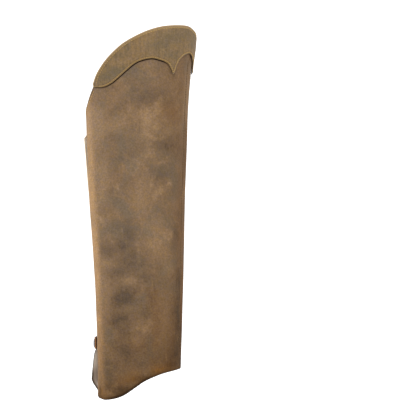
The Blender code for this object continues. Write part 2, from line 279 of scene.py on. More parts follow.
def makeSheet(piece, looks):
    # a wall of leather: a grained face, a flesh side and a rounded cut edge all round
    dense, hem, top, middle, turns, heights, around = layOut(piece)
    kept = slice(None, None, leather["lineStep"])
    toHem = distanceTo(around, heights, middle[kept], hem[kept])
    toTop = distanceTo(around, heights, middle[kept], top[kept])
    distances = {"hem": toHem, "top": toTop, "first": around, "last": middle[-1] - around}
    lift = piece["lift"](turns, heights)
    for row in piece["stitchRows"]:
        crossing = ("first", "last") if row["edge"] in ("hem", "top") else ("hem", "top")
        ends = np.minimum(distances[crossing[0]], distances[crossing[1]])
        sink = row["sink"] * ease(ends, *leather["grooveEnds"])
        beside = (distances[row["edge"]] - row["inset"]) / leather["grooveWidth"]
        lift = lift - sink * np.exp(-(beside**2))
    rolled = piece["roll"] * np.exp(-((toHem / leather["rollWidth"]) ** 2))
    face = place(turns, heights, lift - rolled)
    normals = normalsOf(face)
    left = np.interp(heights, leather["skiveHeights"], piece["skive"])
    skived = (1 - left) * np.exp(-((around / leather["skiveWidth"]) ** 2))
    thin = 1 - skived - rolled / piece["thickness"]
    back = face - normals * (piece["thickness"] * thin)[..., None]

    # the loop round the cut edge, and the rounded rings between its two sides
    columns, rows = turns.shape
    size = columns * rows
    grid = np.arange(size).reshape(columns, rows)
    loop = np.concatenate([grid[:, 0], grid[-1, 1:], grid[-2::-1, -1], grid[0, -2:0:-1]])
    flatFace, flatBack, flatNormals = (a.reshape(-1, 3) for a in (face, back, normals))
    outer, inner = flatFace[loop], flatBack[loop]
    along = np.roll(outer, -1, axis=0) - np.roll(outer, 1, axis=0)
    bulge = unit(np.cross(flatNormals[loop], along)) * piece["edgeRound"]
    centre, half = (outer + inner) / 2, (outer - inner) / 2
    segments = leather["edgeSegments"]
    bends = [math.pi * k / segments for k in range(1, segments)]
    rings = [centre + half * math.cos(bend) + bulge * math.sin(bend) for bend in bends]
    points = np.concatenate([flatFace, flatBack] + rings)
    lower, upper = grid[:-1, :], grid[1:, :]
    quads = np.stack([lower[:, :-1], lower[:, 1:], upper[:, 1:], upper[:, :-1]], axis=-1).reshape(-1, 4)
    count = len(loop)
    ringPoints = [2 * size + k * count + np.arange(count) for k in range(segments - 1)]
    strips = [loop] + ringPoints + [size + loop]
    rim = [np.stack([a, np.roll(a, -1), np.roll(b, -1), b], axis=1) for a, b in zip(strips, strips[1:])]
    faces = np.concatenate([quads, size + quads[:, ::-1]] + rim)
    mesh = bpy.data.meshes.new(piece["name"])
    mesh.from_pydata(points.tolist(), [], faces.tolist())

    for look in looks:
        mesh.materials.append(look)
    counts = (("hem", columns - 1), ("last", rows - 1), ("top", columns - 1), ("first", rows - 1))
    rimLook = [piece["rims"][side] for side, length in counts for k in range(length)]
    looksOf = [0] * len(quads) + [1] * len(quads) + rimLook * segments
    mesh.polygons.foreach_set("material_index", looksOf)
    ofPoint = np.concatenate([np.arange(size), np.arange(size)] + [loop] * (segments - 1))
    nearest = np.minimum.reduce([distances[side] for side in piece["burnished"]])
    masks = {"edgeDistance": nearest, "hemDistance": toHem, **piece["paint"](turns, heights, toHem)}
    for name, value in masks.items():
        stored = mesh.attributes.new(name, "FLOAT", "POINT")
        stored.data.foreach_set("value", value.reshape(-1)[ofPoint].astype(np.float32))
    cloth = mesh.uv_layers.new(name="cloth")
    cornerPoints = np.zeros(len(mesh.loops), np.int32)
    mesh.loops.foreach_get("vertex_index", cornerPoints)
    laidFlat = np.stack([around.reshape(-1), heights.reshape(-1)], axis=1)[ofPoint[cornerPoints]]
    cloth.data.foreach_set("uv", laidFlat.reshape(-1).astype(np.float32))
    mesh.shade_smooth()

    made = standIn(piece["name"], mesh, piece["node"])


# Seams

stitching = {
    "pitch": 0.0032,
    "length": 0.0026,
    "thread": 0.00036,
    "dive": 0.0007,
    "arch": 0.00062,
    "bury": 0.0002,
    "jitter": 0.05,
    "seed": 7,
    "pathStep": 0.0008,
    "sideStep": 0.001,
    "edgeStep": 3,  # of the points that a cut edge is worked out from
    "turnProbe": 0.3,
    "heightProbe": 0.0003,
    "topInset": 0.0033,
    "yokeHemInset": 0.0019,
    "lapInset": 0.0030,
}


def faceNormals(turns, heights, liftOf):
    def spot(turnStep, heightStep):
        at, high = turns + turnStep, heights + heightStep
        return place(at, high, liftOf(at, high))

    step, rise = stitching["turnProbe"], stitching["heightProbe"]
    return unit(np.cross(spot(0.0, rise) - spot(0.0, -rise), spot(step, 0.0) - spot(-step, 0.0)))


def edgePath(piece, edge, inset, start, end):
    # the turns and heights of a line that keeps its distance from one cut edge
    dense, hem, top, middle = layOut(piece)[:4]
    if edge in ("hem", "top"):
        line, inward = (hem, 1) if edge == "hem" else (top, -1)
        heights = insetEdge(arcOf(dense, line), line, inset, inward)
        kept = (dense >= start) & (dense <= end)
        return dense[kept][:: stitching["edgeStep"]], heights[kept][:: stitching["edgeStep"]]
    heights = np.arange(start, end, stitching["sideStep"])
    spot = inset if edge == "first" else middle[-1] - inset
    return np.full(len(heights), np.interp(spot, middle, dense)), heights


def boxPath(firstTurn, lastTurn, bottom, top):
    # once round a box of stitches
    corners = [(firstTurn, bottom), (lastTurn, bottom), (lastTurn, top), (firstTurn, top)]
    turns, heights = [], []
    for (t0, h0), (t1, h1) in zip(corners, corners[1:] + corners[:1]):
        length = max(abs(t1 - t0) * legForm["girthStep"], abs(h1 - h0))
        count = max(int(length / stitching["pathStep"]), 2)
        turns += list(np.linspace(t0, t1, count))
        heights += list(np.linspace(h0, h1, count))
    return np.array(turns), np.array(heights)


def addSocket(tree, name, kind, inOut="INPUT", value=None):
    made = tree.interface.new_socket(name=name, in_out=inOut, socket_type="NodeSocket" + kind)
    if value is not None:
        made.default_value = value


def feed(tree, made, inputs):
    for name, value in inputs.items():
        if isinstance(value, bpy.types.NodeSocket):
            tree.links.new(value, made.inputs[name])
        else:
            made.inputs[name].default_value = value
    return made.outputs


def addNode(tree, kind, inputs=None, **options):
    made = tree.nodes.new(kind)
    for option, value in options.items():
        setattr(made, option, value)
    return feed(tree, made, inputs or {})


def calc(tree, operation, a, b=0.0, clamp=False):
    return addNode(tree, "ShaderNodeMath", {0: a, 1: b}, operation=operation, use_clamp=clamp)[0]


def times(tree, a, b, clamp=False):
    return calc(tree, "MULTIPLY", a, b, clamp)


def stitchTree():
    # one bowed stitch of round thread for each pitch along a line, turned by its outward direction
    tree = bpy.data.node_groups.new("stitchRow", "GeometryNodeTree")
    addSocket(tree, "Geometry", "Geometry")
    for name in ("Pitch", "Length", "Thread", "Dive", "Arch", "Jitter"):
        addSocket(tree, name, "Float")
    addSocket(tree, "Seed", "Int")
    addSocket(tree, "Material", "Material")
    addSocket(tree, "Geometry", "Geometry", "OUTPUT")

    def put(kind, inputs=None, **options):
        return addNode(tree, kind, inputs, **options)[0]

    def measured(curve, name):
        along = addNode(tree, "GeometryNodeSplineParameter")["Factor"]
        return put("GeometryNodeStoreNamedAttribute", {"Geometry": curve, "Name": name, "Value": along})

    def everyWay(value):
        return put("ShaderNodeCombineXYZ", {"X": value, "Y": value, "Z": value})

    given = addNode(tree, "NodeGroupInput")
    line = put("GeometryNodeMeshToCurve", {"Mesh": given["Geometry"]})
    holes = put("GeometryNodeResampleCurve", {"Curve": line, "Length": given["Pitch"]}, mode="LENGTH")
    half = times(tree, given["Length"], 0.5)
    under = times(tree, given["Dive"], -1.0)
    start = put("ShaderNodeCombineXYZ", {"X": times(tree, half, -1.0), "Z": under})
    middle = put("ShaderNodeCombineXYZ", {"Z": calc(tree, "ADD", given["Arch"], given["Dive"])})
    end = put("ShaderNodeCombineXYZ", {"X": half, "Z": under})
    bow = {"Resolution": 6, "Start": start, "Middle": middle, "End": end}
    rail = measured(put("GeometryNodeCurveQuadraticBezier", bow), "threadAlong")
    ring = put("GeometryNodeCurvePrimitiveCircle", {"Resolution": 7, "Radius": given["Thread"]})
    tube = {"Curve": rail, "Profile Curve": measured(ring, "threadAround"), "Fill Caps": True}
    stitch = put("GeometryNodeCurveToMesh", tube)
    outward = put("GeometryNodeInputNamedAttribute", {"Name": "outward"}, data_type="FLOAT_VECTOR")
    axes = {"Primary Axis": put("GeometryNodeInputTangent"), "Secondary Axis": outward}
    turned = put("FunctionNodeAxesToRotation", axes, primary_axis="X", secondary_axis="Z")
    least = everyWay(times(tree, given["Jitter"], -1.0))
    limits = {"Min": least, "Max": everyWay(given["Jitter"]), "Seed": given["Seed"]}
    wobble = put("FunctionNodeRandomValue", limits, data_type="FLOAT_VECTOR")
    both = {"Rotation": turned, "Rotate By": wobble}
    tilted = put("FunctionNodeRotateRotation", both, rotation_space="LOCAL")
    sewn = put("GeometryNodeInstanceOnPoints", {"Points": holes, "Instance": stitch, "Rotation": tilted})
    real = put("GeometryNodeRealizeInstances", {"Geometry": sewn})
    smooth = put("GeometryNodeSetShadeSmooth", {"Geometry": real})
    dyed = put("GeometryNodeSetMaterial", {"Geometry": smooth, "Material": given["Material"]})
    addNode(tree, "NodeGroupOutput", {"Geometry": dyed})
    return tree


def sew(name, paths, thread, tree, **changes):
    # one row of stitches along each path; a path has its places and its outward directions
    points, edges, outward = [], [], []
    for line, normals in paths:
        edges += [(len(points) + k, len(points) + k + 1) for k in range(len(line) - 1)]
        points += line.tolist()
        outward += normals.tolist()
    mesh = bpy.data.meshes.new(name)
    mesh.from_pydata(points, edges, [])
    stored = mesh.attributes.new("outward", "FLOAT_VECTOR", "POINT")
    stored.data.foreach_set("vector", np.array(outward, np.float32).reshape(-1))
    made = addObject(name, mesh)
    rows = made.modifiers.new("stitches", "NODES")
    rows.node_group = tree
    sizes = {**stitching, **changes}
    given = {"Material": thread, **{key.capitalize(): value for key, value in sizes.items()}}
    for item in tree.interface.items_tree:
        if item.in_out == "INPUT" and item.name in given:
            rows[item.identifier] = given[item.name]
    plain = bpy.data.meshes.new_from_object(made.evaluated_get(bpy.context.evaluated_depsgraph_get()))
    made.modifiers.clear()
    made.data = plain
    plain.name = name
    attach(made, "root")
    print(f"{name}: {len(plain.polygons)} faces")


def seamOn(piece, turns, heights, inside=False):
    liftOf = piece["lift"]
    normals = faceNormals(turns, heights, liftOf)
    line = place(turns, heights, liftOf(turns, heights)) - normals * stitching["bury"]
    if inside:
        return line - normals * (piece["thickness"] - 2 * stitching["bury"]), -normals
    return line, normals


# Finishes


def screen(red, green, blue):
    # a colour as a screen shows it, from 0 to 255, in linear light
    def linear(value):
        share = value / 255
        return share / 12.92 if share <= 0.04045 else ((share + 0.055) / 1.055) ** 2.4

    return (linear(red), linear(green), linear(blue), 1.0)


def newGroup(name, inputs, outputs):
    tree = bpy.data.node_groups.new(name, "ShaderNodeTree")
    addSocket(tree, "Vector", "Vector")
    for label, value in inputs.items():
        addSocket(tree, label, "Color" if value is None else "Float", "INPUT", value)
    for label in outputs:
        addSocket(tree, label, "Color" if label == "Color" else "Float", "OUTPUT")
    made = tree.nodes.new("NodeGroupOutput")
    return tree, addNode(tree, "NodeGroupInput"), made.inputs


def blend(tree, share, a, b, kind="MIX"):
    inputs = {0: share, 6: a, 7: b}
    return addNode(tree, "ShaderNodeMix", inputs, data_type="RGBA", blend_type=kind)[2]


def spread(tree, value, low, high, start=0.0, end=1.0, smooth=False):
    kind = "SMOOTHSTEP" if smooth else "LINEAR"
    inputs = {"Value": value, "From Min": low, "From Max": high, "To Min": start, "To Max": end}
    return addNode(tree, "ShaderNodeMapRange", inputs, interpolation_type=kind)[0]


def noiseAt(tree, vector, size, detail=3.0, rough=0.5, warp=0.0, offset=(0, 0, 0), stretch=(1, 1, 1)):
    # cloudy noise whose spots are about that many metres across
    scale = tuple(s / size for s in stretch)
    spot = addNode(tree, "ShaderNodeMapping", {"Vector": vector, "Location": offset, "Scale": scale})[0]
    inputs = {"Vector": spot, "Scale": 1.0, "Detail": detail, "Roughness": rough, "Distortion": warp}
    return addNode(tree, "ShaderNodeTexNoise", inputs)[0]


def hideClouds():
    # the cloudy pull-up of oiled leather: four tones, in large, middling and small clouds
    inputs = {"Deep": None, "Middle": None, "Pale": None, "Cool": None, "Contrast": 1.0}
    tree, given, out = newGroup("hideClouds", inputs, ["Color", "Cloud"])
    spot = given["Vector"]
    large = noiseAt(tree, spot, 0.060, 3.0, 0.5, 0.3, (3.1, 1.7, 0.4))
    middling = noiseAt(tree, spot, 0.021, 4.0, 0.55, 0.6, (0.2, 5.3, 2.2))
    small = noiseAt(tree, spot, 0.0065, 4.0, 0.6, 0.4, (7.7, 0.9, 1.3))
    both = calc(tree, "ADD", times(tree, large, 0.42), times(tree, middling, 0.36))
    every = calc(tree, "ADD", both, times(tree, small, 0.22))
    cloud = spread(tree, times(tree, calc(tree, "SUBTRACT", every, 0.5), given["Contrast"]), -0.17, 0.17)
    dark = blend(tree, spread(tree, cloud, 0.0, 0.5, smooth=True), given["Deep"], given["Middle"])
    tone = blend(tree, spread(tree, cloud, 0.5, 1.0, smooth=True), dark, given["Pale"])
    greyer = spread(tree, noiseAt(tree, spot, 0.030, 3.0, 0.55, 0.8, (9.0, 4.0, 6.5)), 0.47, 0.66, 0.0, 0.75)
    tree.links.new(blend(tree, greyer, tone, given["Cool"]), out["Color"])
    tree.links.new(cloud, out["Cloud"])
    return tree


def hideGrain():
    # fine pores and the hair-thin wrinkles between them
    outputs = ["Height", "Speckle", "Tinge"]
    tree, given, out = newGroup("hideGrain", {"Pore": 0.0011, "Wrinkle": 0.6}, outputs)
    spot = given["Vector"]
    inputs = {"Vector": spot, "Scale": calc(tree, "DIVIDE", 1.0, given["Pore"]), "Randomness": 0.9}
    cells = addNode(tree, "ShaderNodeTexVoronoi", inputs, feature="SMOOTH_F1")["Distance"]
    pebble = spread(tree, cells, 0.1, 0.75, 1.0, 0.0, smooth=True)
    wrinkle = noiseAt(tree, spot, 0.0042, 5.0, 0.62, 1.4, (2.0, 8.0, 5.0), (1.0, 1.0, 0.55))
    folded = calc(tree, "ABSOLUTE", calc(tree, "SUBTRACT", wrinkle, 0.5))
    line = spread(tree, folded, 0.0, 0.05, 0.0, 1.0, smooth=True)
    height = calc(tree, "ADD", times(tree, pebble, 0.5), times(tree, line, given["Wrinkle"]))
    tree.links.new(height, out["Height"])
    tree.links.new(noiseAt(tree, spot, 0.0019, 3.0, 0.6), out["Speckle"])
    tree.links.new(noiseAt(tree, spot, 0.0030, 3.0, 0.6, 0.0, (4.0, 2.0, 7.0)), out["Tinge"])
    return tree


def edgeWear():
    # how much a cut edge is burnished, and the lip where it is rubbed pale
    inputs = {"Distance": 1.0, "Width": 0.004, "Lip": 0.0012}
    tree, given, out = newGroup("edgeWear", inputs, ["Burnish", "Lip"])
    ragged = times(tree, noiseAt(tree, given["Vector"], 0.006, 3.0, 0.6), 1.3)
    reach = times(tree, given["Width"], calc(tree, "ADD", ragged, 0.35))
    near = calc(tree, "DIVIDE", given["Distance"], reach)
    tree.links.new(spread(tree, near, 0.0, 1.0, 1.0, 0.0, smooth=True), out["Burnish"])
    atLip = calc(tree, "DIVIDE", given["Distance"], given["Lip"])
    tree.links.new(spread(tree, atLip, 0.35, 1.0, 1.0, 0.0, smooth=True), out["Lip"])
    return tree


def scuffs():
    # faint pale scratches and rubs in one direction
    tree, given, out = newGroup("scuffs", {"Amount": 0.5}, ["Mask"])
    streak = noiseAt(tree, given["Vector"], 0.0034, 4.0, 0.62, 0.5, (1.0, 3.0, 9.0), (1.0, 1.0, 0.16))
    where = noiseAt(tree, given["Vector"], 0.034, 2.0, 0.5, 0.5, (6.0, 1.0, 2.0))
    lines = times(tree, spread(tree, streak, 0.56, 0.74), spread(tree, where, 0.45, 0.65))
    tree.links.new(times(tree, lines, given["Amount"]), out["Mask"])
    return tree


def fleshFibre():
    # the nap of the flesh side, or of a raw cut edge
    tree, given, out = newGroup("fleshFibre", {"Size": 0.0012}, ["Height", "Shade"])
    inputs = {"Vector": given["Vector"], "Scale": calc(tree, "DIVIDE", 1.0, given["Size"])}
    inputs.update({"Detail": 5.0, "Roughness": 0.7, "Distortion": 1.2})
    fine = addNode(tree, "ShaderNodeTexNoise", inputs)[0]
    broad = noiseAt(tree, given["Vector"], 0.017, 3.0, 0.55, 0.7)
    tree.links.new(fine, out["Height"])
    tree.links.new(calc(tree, "ADD", times(tree, fine, 0.45), times(tree, broad, 0.55)), out["Shade"])
    return tree


shared = {made.name: made for made in (hideClouds(), hideGrain(), edgeWear(), scuffs(), fleshFibre())}


def newMaterial(name, roughness, **sockets):
    made = bpy.data.materials.new(name)
    made.use_nodes = True
    shader = made.node_tree.nodes["Principled BSDF"]
    shader.inputs["Roughness"].default_value = roughness
    for label, value in sockets.items():
        shader.inputs[label.replace("_", " ")].default_value = value
    return made, made.node_tree, shader, addNode(made.node_tree, "ShaderNodeTexCoord")["Object"]


def use(tree, name, spot, **inputs):
    # one of the shared effects, with its own values
    made = tree.nodes.new("ShaderNodeGroup")
    made.node_tree = shared[name]
    return feed(tree, made, {"Vector": spot, **inputs})


def cloudsOf(tree, spot, look):
    tones = {tone.capitalize(): look[tone] for tone in ("deep", "middle", "pale", "cool", "contrast")}
    return use(tree, "hideClouds", spot, **tones)


def painted(tree, name):
    return addNode(tree, "ShaderNodeAttribute", attribute_name=name)["Fac"]


def finishWith(made, shader, colour, height, depth):
    # the colour and the relief that a material ends in
    tree = made.node_tree
    tree.links.new(colour, shader.inputs["Base Color"])
    bump = addNode(tree, "ShaderNodeBump", {"Height": height, "Distance": depth})[0]
    tree.links.new(bump, shader.inputs["Normal"])
    return made


def mottled(tree, colour, grain):
    # fine dark and light specks, some of them yellower and some greyer
    speck = spread(tree, grain["Speckle"], 0.3, 0.7, 0.80, 1.20)
    red = times(tree, speck, spread(tree, grain["Tinge"], 0.3, 0.7, 0.97, 1.03))
    blue = times(tree, speck, spread(tree, grain["Tinge"], 0.3, 0.7, 1.20, 0.80))
    tint = addNode(tree, "ShaderNodeCombineColor", {0: red, 1: speck, 2: blue})[0]
    return blend(tree, 1.0, colour, tint, "MULTIPLY")


oiledLook = {
    "deep": screen(104, 82, 60),
    "middle": screen(132, 106, 79),
    "pale": screen(158, 129, 97),
    "cool": screen(114, 99, 81),
    "stain": screen(86, 73, 61),
    "warm": screen(126, 92, 58),
    "ochre": screen(186, 148, 106),
    "amber": screen(150, 106, 50),
    "burnt": screen(62, 42, 20),
    # the pale tail beyond the fold band: partly faded leather, partly a painted highlight
    "faded": screen(164, 138, 112),
    "scorched": screen(86, 60, 30),
    # painted shade: the tint that the leather is multiplied by where it is shaded
    "dusk": (0.66, 0.58, 0.47, 1.0),
    "dye": screen(30, 17, 6),
    "shadeCentre": 0.0001,
    "shadeHalf": 0.00036,
    "roughness": 0.72,
    "specular": 0.10,
    "grain": 0.00010,
    "contrast": 1.0,
    "hemWidth": 0.0080,
    "rimWidth": 0.0026,
    "burnish": 0.85,
    "scuffs": 0.35,
    # each painted mask, the tone that it brings and the most of it
    "masks": [
        ("stain", "stain", 0.55),
        ("warm", "warm", 0.60),
        ("pale", "pale", 0.60),
        ("faded", "faded", 0.55),
        # the fold band: partly pulled-up leather, partly a painted highlight
        ("worn", "ochre", 0.76),
        ("amber", "amber", 0.60),
        ("burnt", "burnt", 0.70),
    ],
}


def oiledLeather(name, look):
    made, tree, shader, spot = newMaterial(name, look["roughness"], Specular_IOR_Level=look["specular"])
    clouds, grain = cloudsOf(tree, spot, look), use(tree, "hideGrain", spot)
    wear = use(tree, "edgeWear", spot, Distance=painted(tree, "hemDistance"), Width=look["hemWidth"])
    rim = use(tree, "edgeWear", spot, Distance=painted(tree, "edgeDistance"), Width=look["rimWidth"])
    uneven = spread(tree, clouds["Cloud"], 0.15, 0.85, 1.50, 0.40)
    colour = clouds["Color"]
    for mask, tone, most in look["masks"]:
        share = times(tree, times(tree, painted(tree, mask), uneven), most, True)
        colour = blend(tree, share, colour, look[tone])
    colour = blend(tree, use(tree, "scuffs", spot, Amount=look["scuffs"])["Mask"], colour, look["ochre"])
    # painted shade: darker towards the bottom and towards the shin
    tint = blend(tree, painted(tree, "dusk"), (1.0, 1.0, 1.0, 1.0), look["dusk"])
    colour = blend(tree, 1.0, mottled(tree, colour, grain), tint, "MULTIPLY")
    # painted shadow and dark edge dye in a fine line under the yoke's lower edge
    away = calc(tree, "ABSOLUTE", calc(tree, "SUBTRACT", painted(tree, "underYoke"), look["shadeCentre"]))
    line = spread(tree, away, look["shadeHalf"], 3.0 * look["shadeHalf"], 1.0, 0.0, smooth=True)
    colour = blend(tree, times(tree, line, painted(tree, "yokeShade")), colour, look["dye"])
    colour = blend(tree, times(tree, wear["Burnish"], look["burnish"]), colour, look["scorched"])
    colour = blend(tree, times(tree, rim["Burnish"], look["burnish"]), colour, look["burnt"])
    colour = blend(tree, painted(tree, "hemLine"), colour, look["dye"])
    gloss = spread(tree, clouds["Cloud"], 0.0, 1.0, look["roughness"] - 0.07, look["roughness"] + 0.08)
    gloss = calc(tree, "SUBTRACT", gloss, times(tree, rim["Burnish"], 0.15))
    tree.links.new(gloss, shader.inputs["Roughness"])
    return finishWith(made, shader, colour, grain["Height"], look["grain"])


yokeLook = {
    "deep": screen(104, 84, 57),
    "middle": screen(134, 110, 79),
    "pale": screen(156, 131, 96),
    "cool": screen(110, 97, 76),
    "stripe": screen(146, 117, 82),
    "lip": screen(166, 137, 90),
    "rubbed": screen(180, 152, 112),
    "burnt": screen(104, 74, 42),
    "contrast": 0.8,
    "roughness": 0.72,
    "specular": 0.10,
    "grain": 0.00010,
    "streakSize": 0.0026,
    "rimWidth": 0.0040,
    "lipWidth": 0.0014,
}


def yokeLeather(name, look):
    made, tree, shader, spot = newMaterial(name, look["roughness"], Specular_IOR_Level=look["specular"])
    clouds, grain = cloudsOf(tree, spot, look), use(tree, "hideGrain", spot)
    widths = {"Width": look["rimWidth"], "Lip": look["lipWidth"]}
    rim = use(tree, "edgeWear", spot, Distance=painted(tree, "edgeDistance"), **widths)
    # streaks that run up and down the piece
    cloth = addNode(tree, "ShaderNodeUVMap", uv_map="cloth")[0]
    streak = noiseAt(tree, cloth, look["streakSize"], 3.0, 0.55, 0.2, stretch=(1.0, 0.10, 1.0))
    colour = blend(tree, spread(tree, streak, 0.42, 0.68, 0.0, 0.50), clouds["Color"], look["stripe"])
    colour = blend(tree, spread(tree, streak, 0.30, 0.46, 0.45, 0.0), colour, look["deep"])
    colour = blend(tree, times(tree, painted(tree, "stain"), 0.8, True), colour, look["cool"])
    colour = mottled(tree, colour, grain)
    colour = blend(tree, times(tree, rim["Burnish"], 0.15), colour, look["burnt"])
    colour = blend(tree, times(tree, rim["Lip"], 0.85), colour, look["lip"])
    # near the top: partly rubbed paler, partly a painted highlight over the rounded edge's shade
    colour = blend(tree, times(tree, painted(tree, "rubbed"), 0.48), colour, look["rubbed"])
    return finishWith(made, shader, colour, grain["Height"], look["grain"])


strapLook = {
    "deep": screen(104, 68, 38),
    "middle": screen(146, 100, 60),
    "pale": screen(176, 130, 84),
    "cool": screen(120, 90, 60),
    "burnt": screen(82, 44, 20),
    "contrast": 0.9,
    "pore": 0.0008,
    "grain": 0.00008,
}


def strapLeather(name, look):
    made, tree, shader, spot = newMaterial(name, 0.5, Specular_IOR_Level=0.4)
    grain = use(tree, "hideGrain", spot, Pore=look["pore"])
    rim = use(tree, "edgeWear", spot, Distance=painted(tree, "edgeDistance"), Width=0.0020)
    colour = cloudsOf(tree, spot, look)["Color"]
    colour = blend(tree, times(tree, rim["Burnish"], 0.6), colour, look["burnt"])
    return finishWith(made, shader, colour, grain["Height"], look["grain"])


fleshLook = {
    "dark": screen(192, 174, 156),
    "pale": screen(220, 202, 180),
    # partly paler skived leather, partly painted light on the flare's shaded flesh
    "skived": screen(255, 248, 232),
    # painted shade: the flare's flesh darker towards the bottom
    "soiled": screen(160, 142, 126),
    "dye": screen(62, 42, 20),
    "fibre": 0.0016,
    "nap": 0.00018,
}


def fleshSide(name, look):
    sheen = {"Sheen_Weight": 0.25, "Sheen_Roughness": 0.6}
    made, tree, shader, spot = newMaterial(name, 0.95, Specular_IOR_Level=0.15, **sheen)
    nap = use(tree, "fleshFibre", spot, Size=look["fibre"])
    colour = blend(tree, spread(tree, nap["Shade"], 0.32, 0.68), look["dark"], look["pale"])
    # skived: partly paler skived leather, partly painted light where the flare's flesh lies in shade
    for mask in ("skived", "soiled"):
        colour = blend(tree, painted(tree, mask), colour, look[mask])
    # the dye of the cut edge has run over its lip
    lip = spread(tree, painted(tree, "edgeDistance"), 0.0008, 0.0030, 0.9, 0.0, smooth=True)
    colour = blend(tree, times(tree, lip, painted(tree, "dyedLip")), colour, look["dye"])
    return finishWith(made, shader, colour, nap["Height"], look["nap"])


def cutEdge(name, dark, pale, raw, roughness):
    # a cut edge is dyed, apart from where it is painted as bare
    made, tree, shader, spot = newMaterial(name, roughness, Specular_IOR_Level=0.2)
    nap = use(tree, "fleshFibre", spot, Size=0.0009)
    colour = blend(tree, spread(tree, nap["Shade"], 0.3, 0.7), dark, pale)
    colour = blend(tree, painted(tree, "bare"), colour, raw)
    return finishWith(made, shader, colour, nap["Height"], 0.00008)


def waxedThread(name, dark, pale, specular):
    # two plies, twisted round each other
    made, tree, shader, spot = newMaterial(name, 0.6, Specular_IOR_Level=specular)
    twist = calc(tree, "ADD", painted(tree, "threadAround"), times(tree, painted(tree, "threadAlong"), 3.0))
    ply = calc(tree, "SINE", times(tree, twist, 4 * math.pi))
    strand = spread(tree, ply, -1.0, 1.0)
    fuzz = noiseAt(tree, spot, 0.0012, 2.0)
    share = calc(tree, "ADD", times(tree, strand, 0.6), times(tree, fuzz, 0.4))
    return finishWith(made, shader, blend(tree, share, dark, pale), strand, 0.00010)


def platedMetal(name, dark, pale):
    made, tree, shader, spot = newMaterial(name, 0.28, Metallic=1.0)
    smear = noiseAt(tree, spot, 0.0022, 4.0, 0.6, 0.8)
    tree.links.new(spread(tree, smear, 0.3, 0.7, 0.20, 0.42), shader.inputs["Roughness"])
    colour = blend(tree, spread(tree, smear, 0.35, 0.7), dark, pale)
    return finishWith(made, shader, colour, noiseAt(tree, spot, 0.0006, 3.0), 0.00002)


def touchTape(name, high, low):
    made, tree, shader, spot = newMaterial(name, 0.9, Specular_IOR_Level=0.2, Sheen_Weight=0.2)
    cloth = addNode(tree, "ShaderNodeUVMap", uv_map="cloth")[0]
    inputs = {"Vector": cloth, "Scale": 900.0, "Randomness": 0.6}
    loops = addNode(tree, "ShaderNodeTexVoronoi", inputs)["Distance"]
    return finishWith(made, shader, blend(tree, spread(tree, loops, 0.0, 0.7), high, low), loops, 0.0003)


rawLeather = screen(206, 176, 132)
oiled = oiledLeather("oiledLeather", oiledLook)
yokeHide = yokeLeather("yokeLeather", yokeLook)
strap = strapLeather("strapLeather", strapLook)
flesh = fleshSide("fleshSide", fleshLook)
dyedEdge = cutEdge("dyedEdge", screen(34, 21, 8), screen(52, 34, 16), screen(230, 208, 176), 0.6)
rawEdge = cutEdge("rawEdge", screen(160, 130, 90), rawLeather, rawLeather, 0.8)
brownEdge = cutEdge("brownEdge", screen(88, 64, 40), screen(114, 86, 58), rawLeather, 0.8)
tanEdge = cutEdge("tanEdge", screen(122, 82, 50), screen(162, 114, 72), rawLeather, 0.6)
goldThread = waxedThread("goldThread", screen(170, 134, 74), screen(214, 178, 112), 0.3)
brownThread = waxedThread("brownThread", screen(84, 62, 38), screen(116, 88, 56), 0.08)
nickel = platedMetal("snapNickel", screen(124, 122, 126), screen(152, 150, 154))
tapeLook = touchTape("touchTape", screen(78, 62, 46), screen(44, 34, 24))
print("finishes made")


# The pieces

fastening = {
    "flapTurn": 181.0,
    "overlap": 31.0,
    "overlapRest": 2.0,
    "overlapEase": 16.0,
    "flapLift": 0.0008,
    "flareSpan": 12.0,
    "flarePower": 1.6,
    "dipStart": 168.0,
    "dipEnd": 182.0,
    "tapeBottom": 0.102,
    "tapeTop": 0.310,
    "tapeFade": 0.030,
    "lapTurn": 18.0,
    "lapEase": 9.0,
    "lapRest": 1.5,
    # how far the flap's free edge stands off at each height
    "flares": rowsOf(
        standOff,
        (0.0185, 0.0109), (0.027, 0.0103), (0.038, 0.009), (0.048, 0.0077), (0.054, 0.0063),
        (0.058, 0.0045), (0.065, 0.004), (0.071, 0.0037), (0.078, 0.0026), (0.086, 0.0018),
        (0.1, 0.0012), (0.13, 0.0011), (0.165, 0.0012), (0.2, 0.0018), (0.238, 0.0031), (0.258, 0.0041),
        (0.274, 0.0048), (0.288, 0.0054), (0.298, 0.0058), (0.307, 0.0062), (0.315, 0.0066),
        (0.322, 0.007),
    ),
}


def fastenedAt(height):
    # 1 where the touch fastener holds the flap, and 0 well below it
    return ease(height, fastening["tapeBottom"] - fastening["tapeFade"], fastening["tapeBottom"])


def outerLift(turn, height):
    # the outer panel sinks under the flap as far as the fastener between them needs
    stack = 2 * leather["tape"] + 3 * leather["seamGap"]
    most = leather["thickness"] + stack - fastening["flapLift"]
    return -most * fastenedAt(height) * ease(turn, fastening["dipStart"], fastening["dipEnd"])


def innerLift(turn, height):
    # the inner panel lies on the outer one at the flap, and goes under it at the lap
    overPanel = leather["thickness"] + leather["seamGap"]
    over = overPanel + (fastening["flapLift"] - overPanel) * fastenedAt(height)
    overlapEnd = fastening["flapTurn"] + fastening["overlap"]
    settled = fall(turn, overlapEnd + fastening["overlapRest"], overlapEnd + fastening["overlapEase"])
    free = np.maximum(1 - (turn - fastening["flapTurn"]) / fastening["flareSpan"], 0)
    flare = (follow(fastening["flares"], height, "lift") - over) * free ** fastening["flarePower"]
    lapStart = 360 + fastening["lapTurn"]
    tucked = ease(turn, lapStart - fastening["lapEase"], lapStart - fastening["lapRest"])
    return over * settled + flare - overPanel * tucked


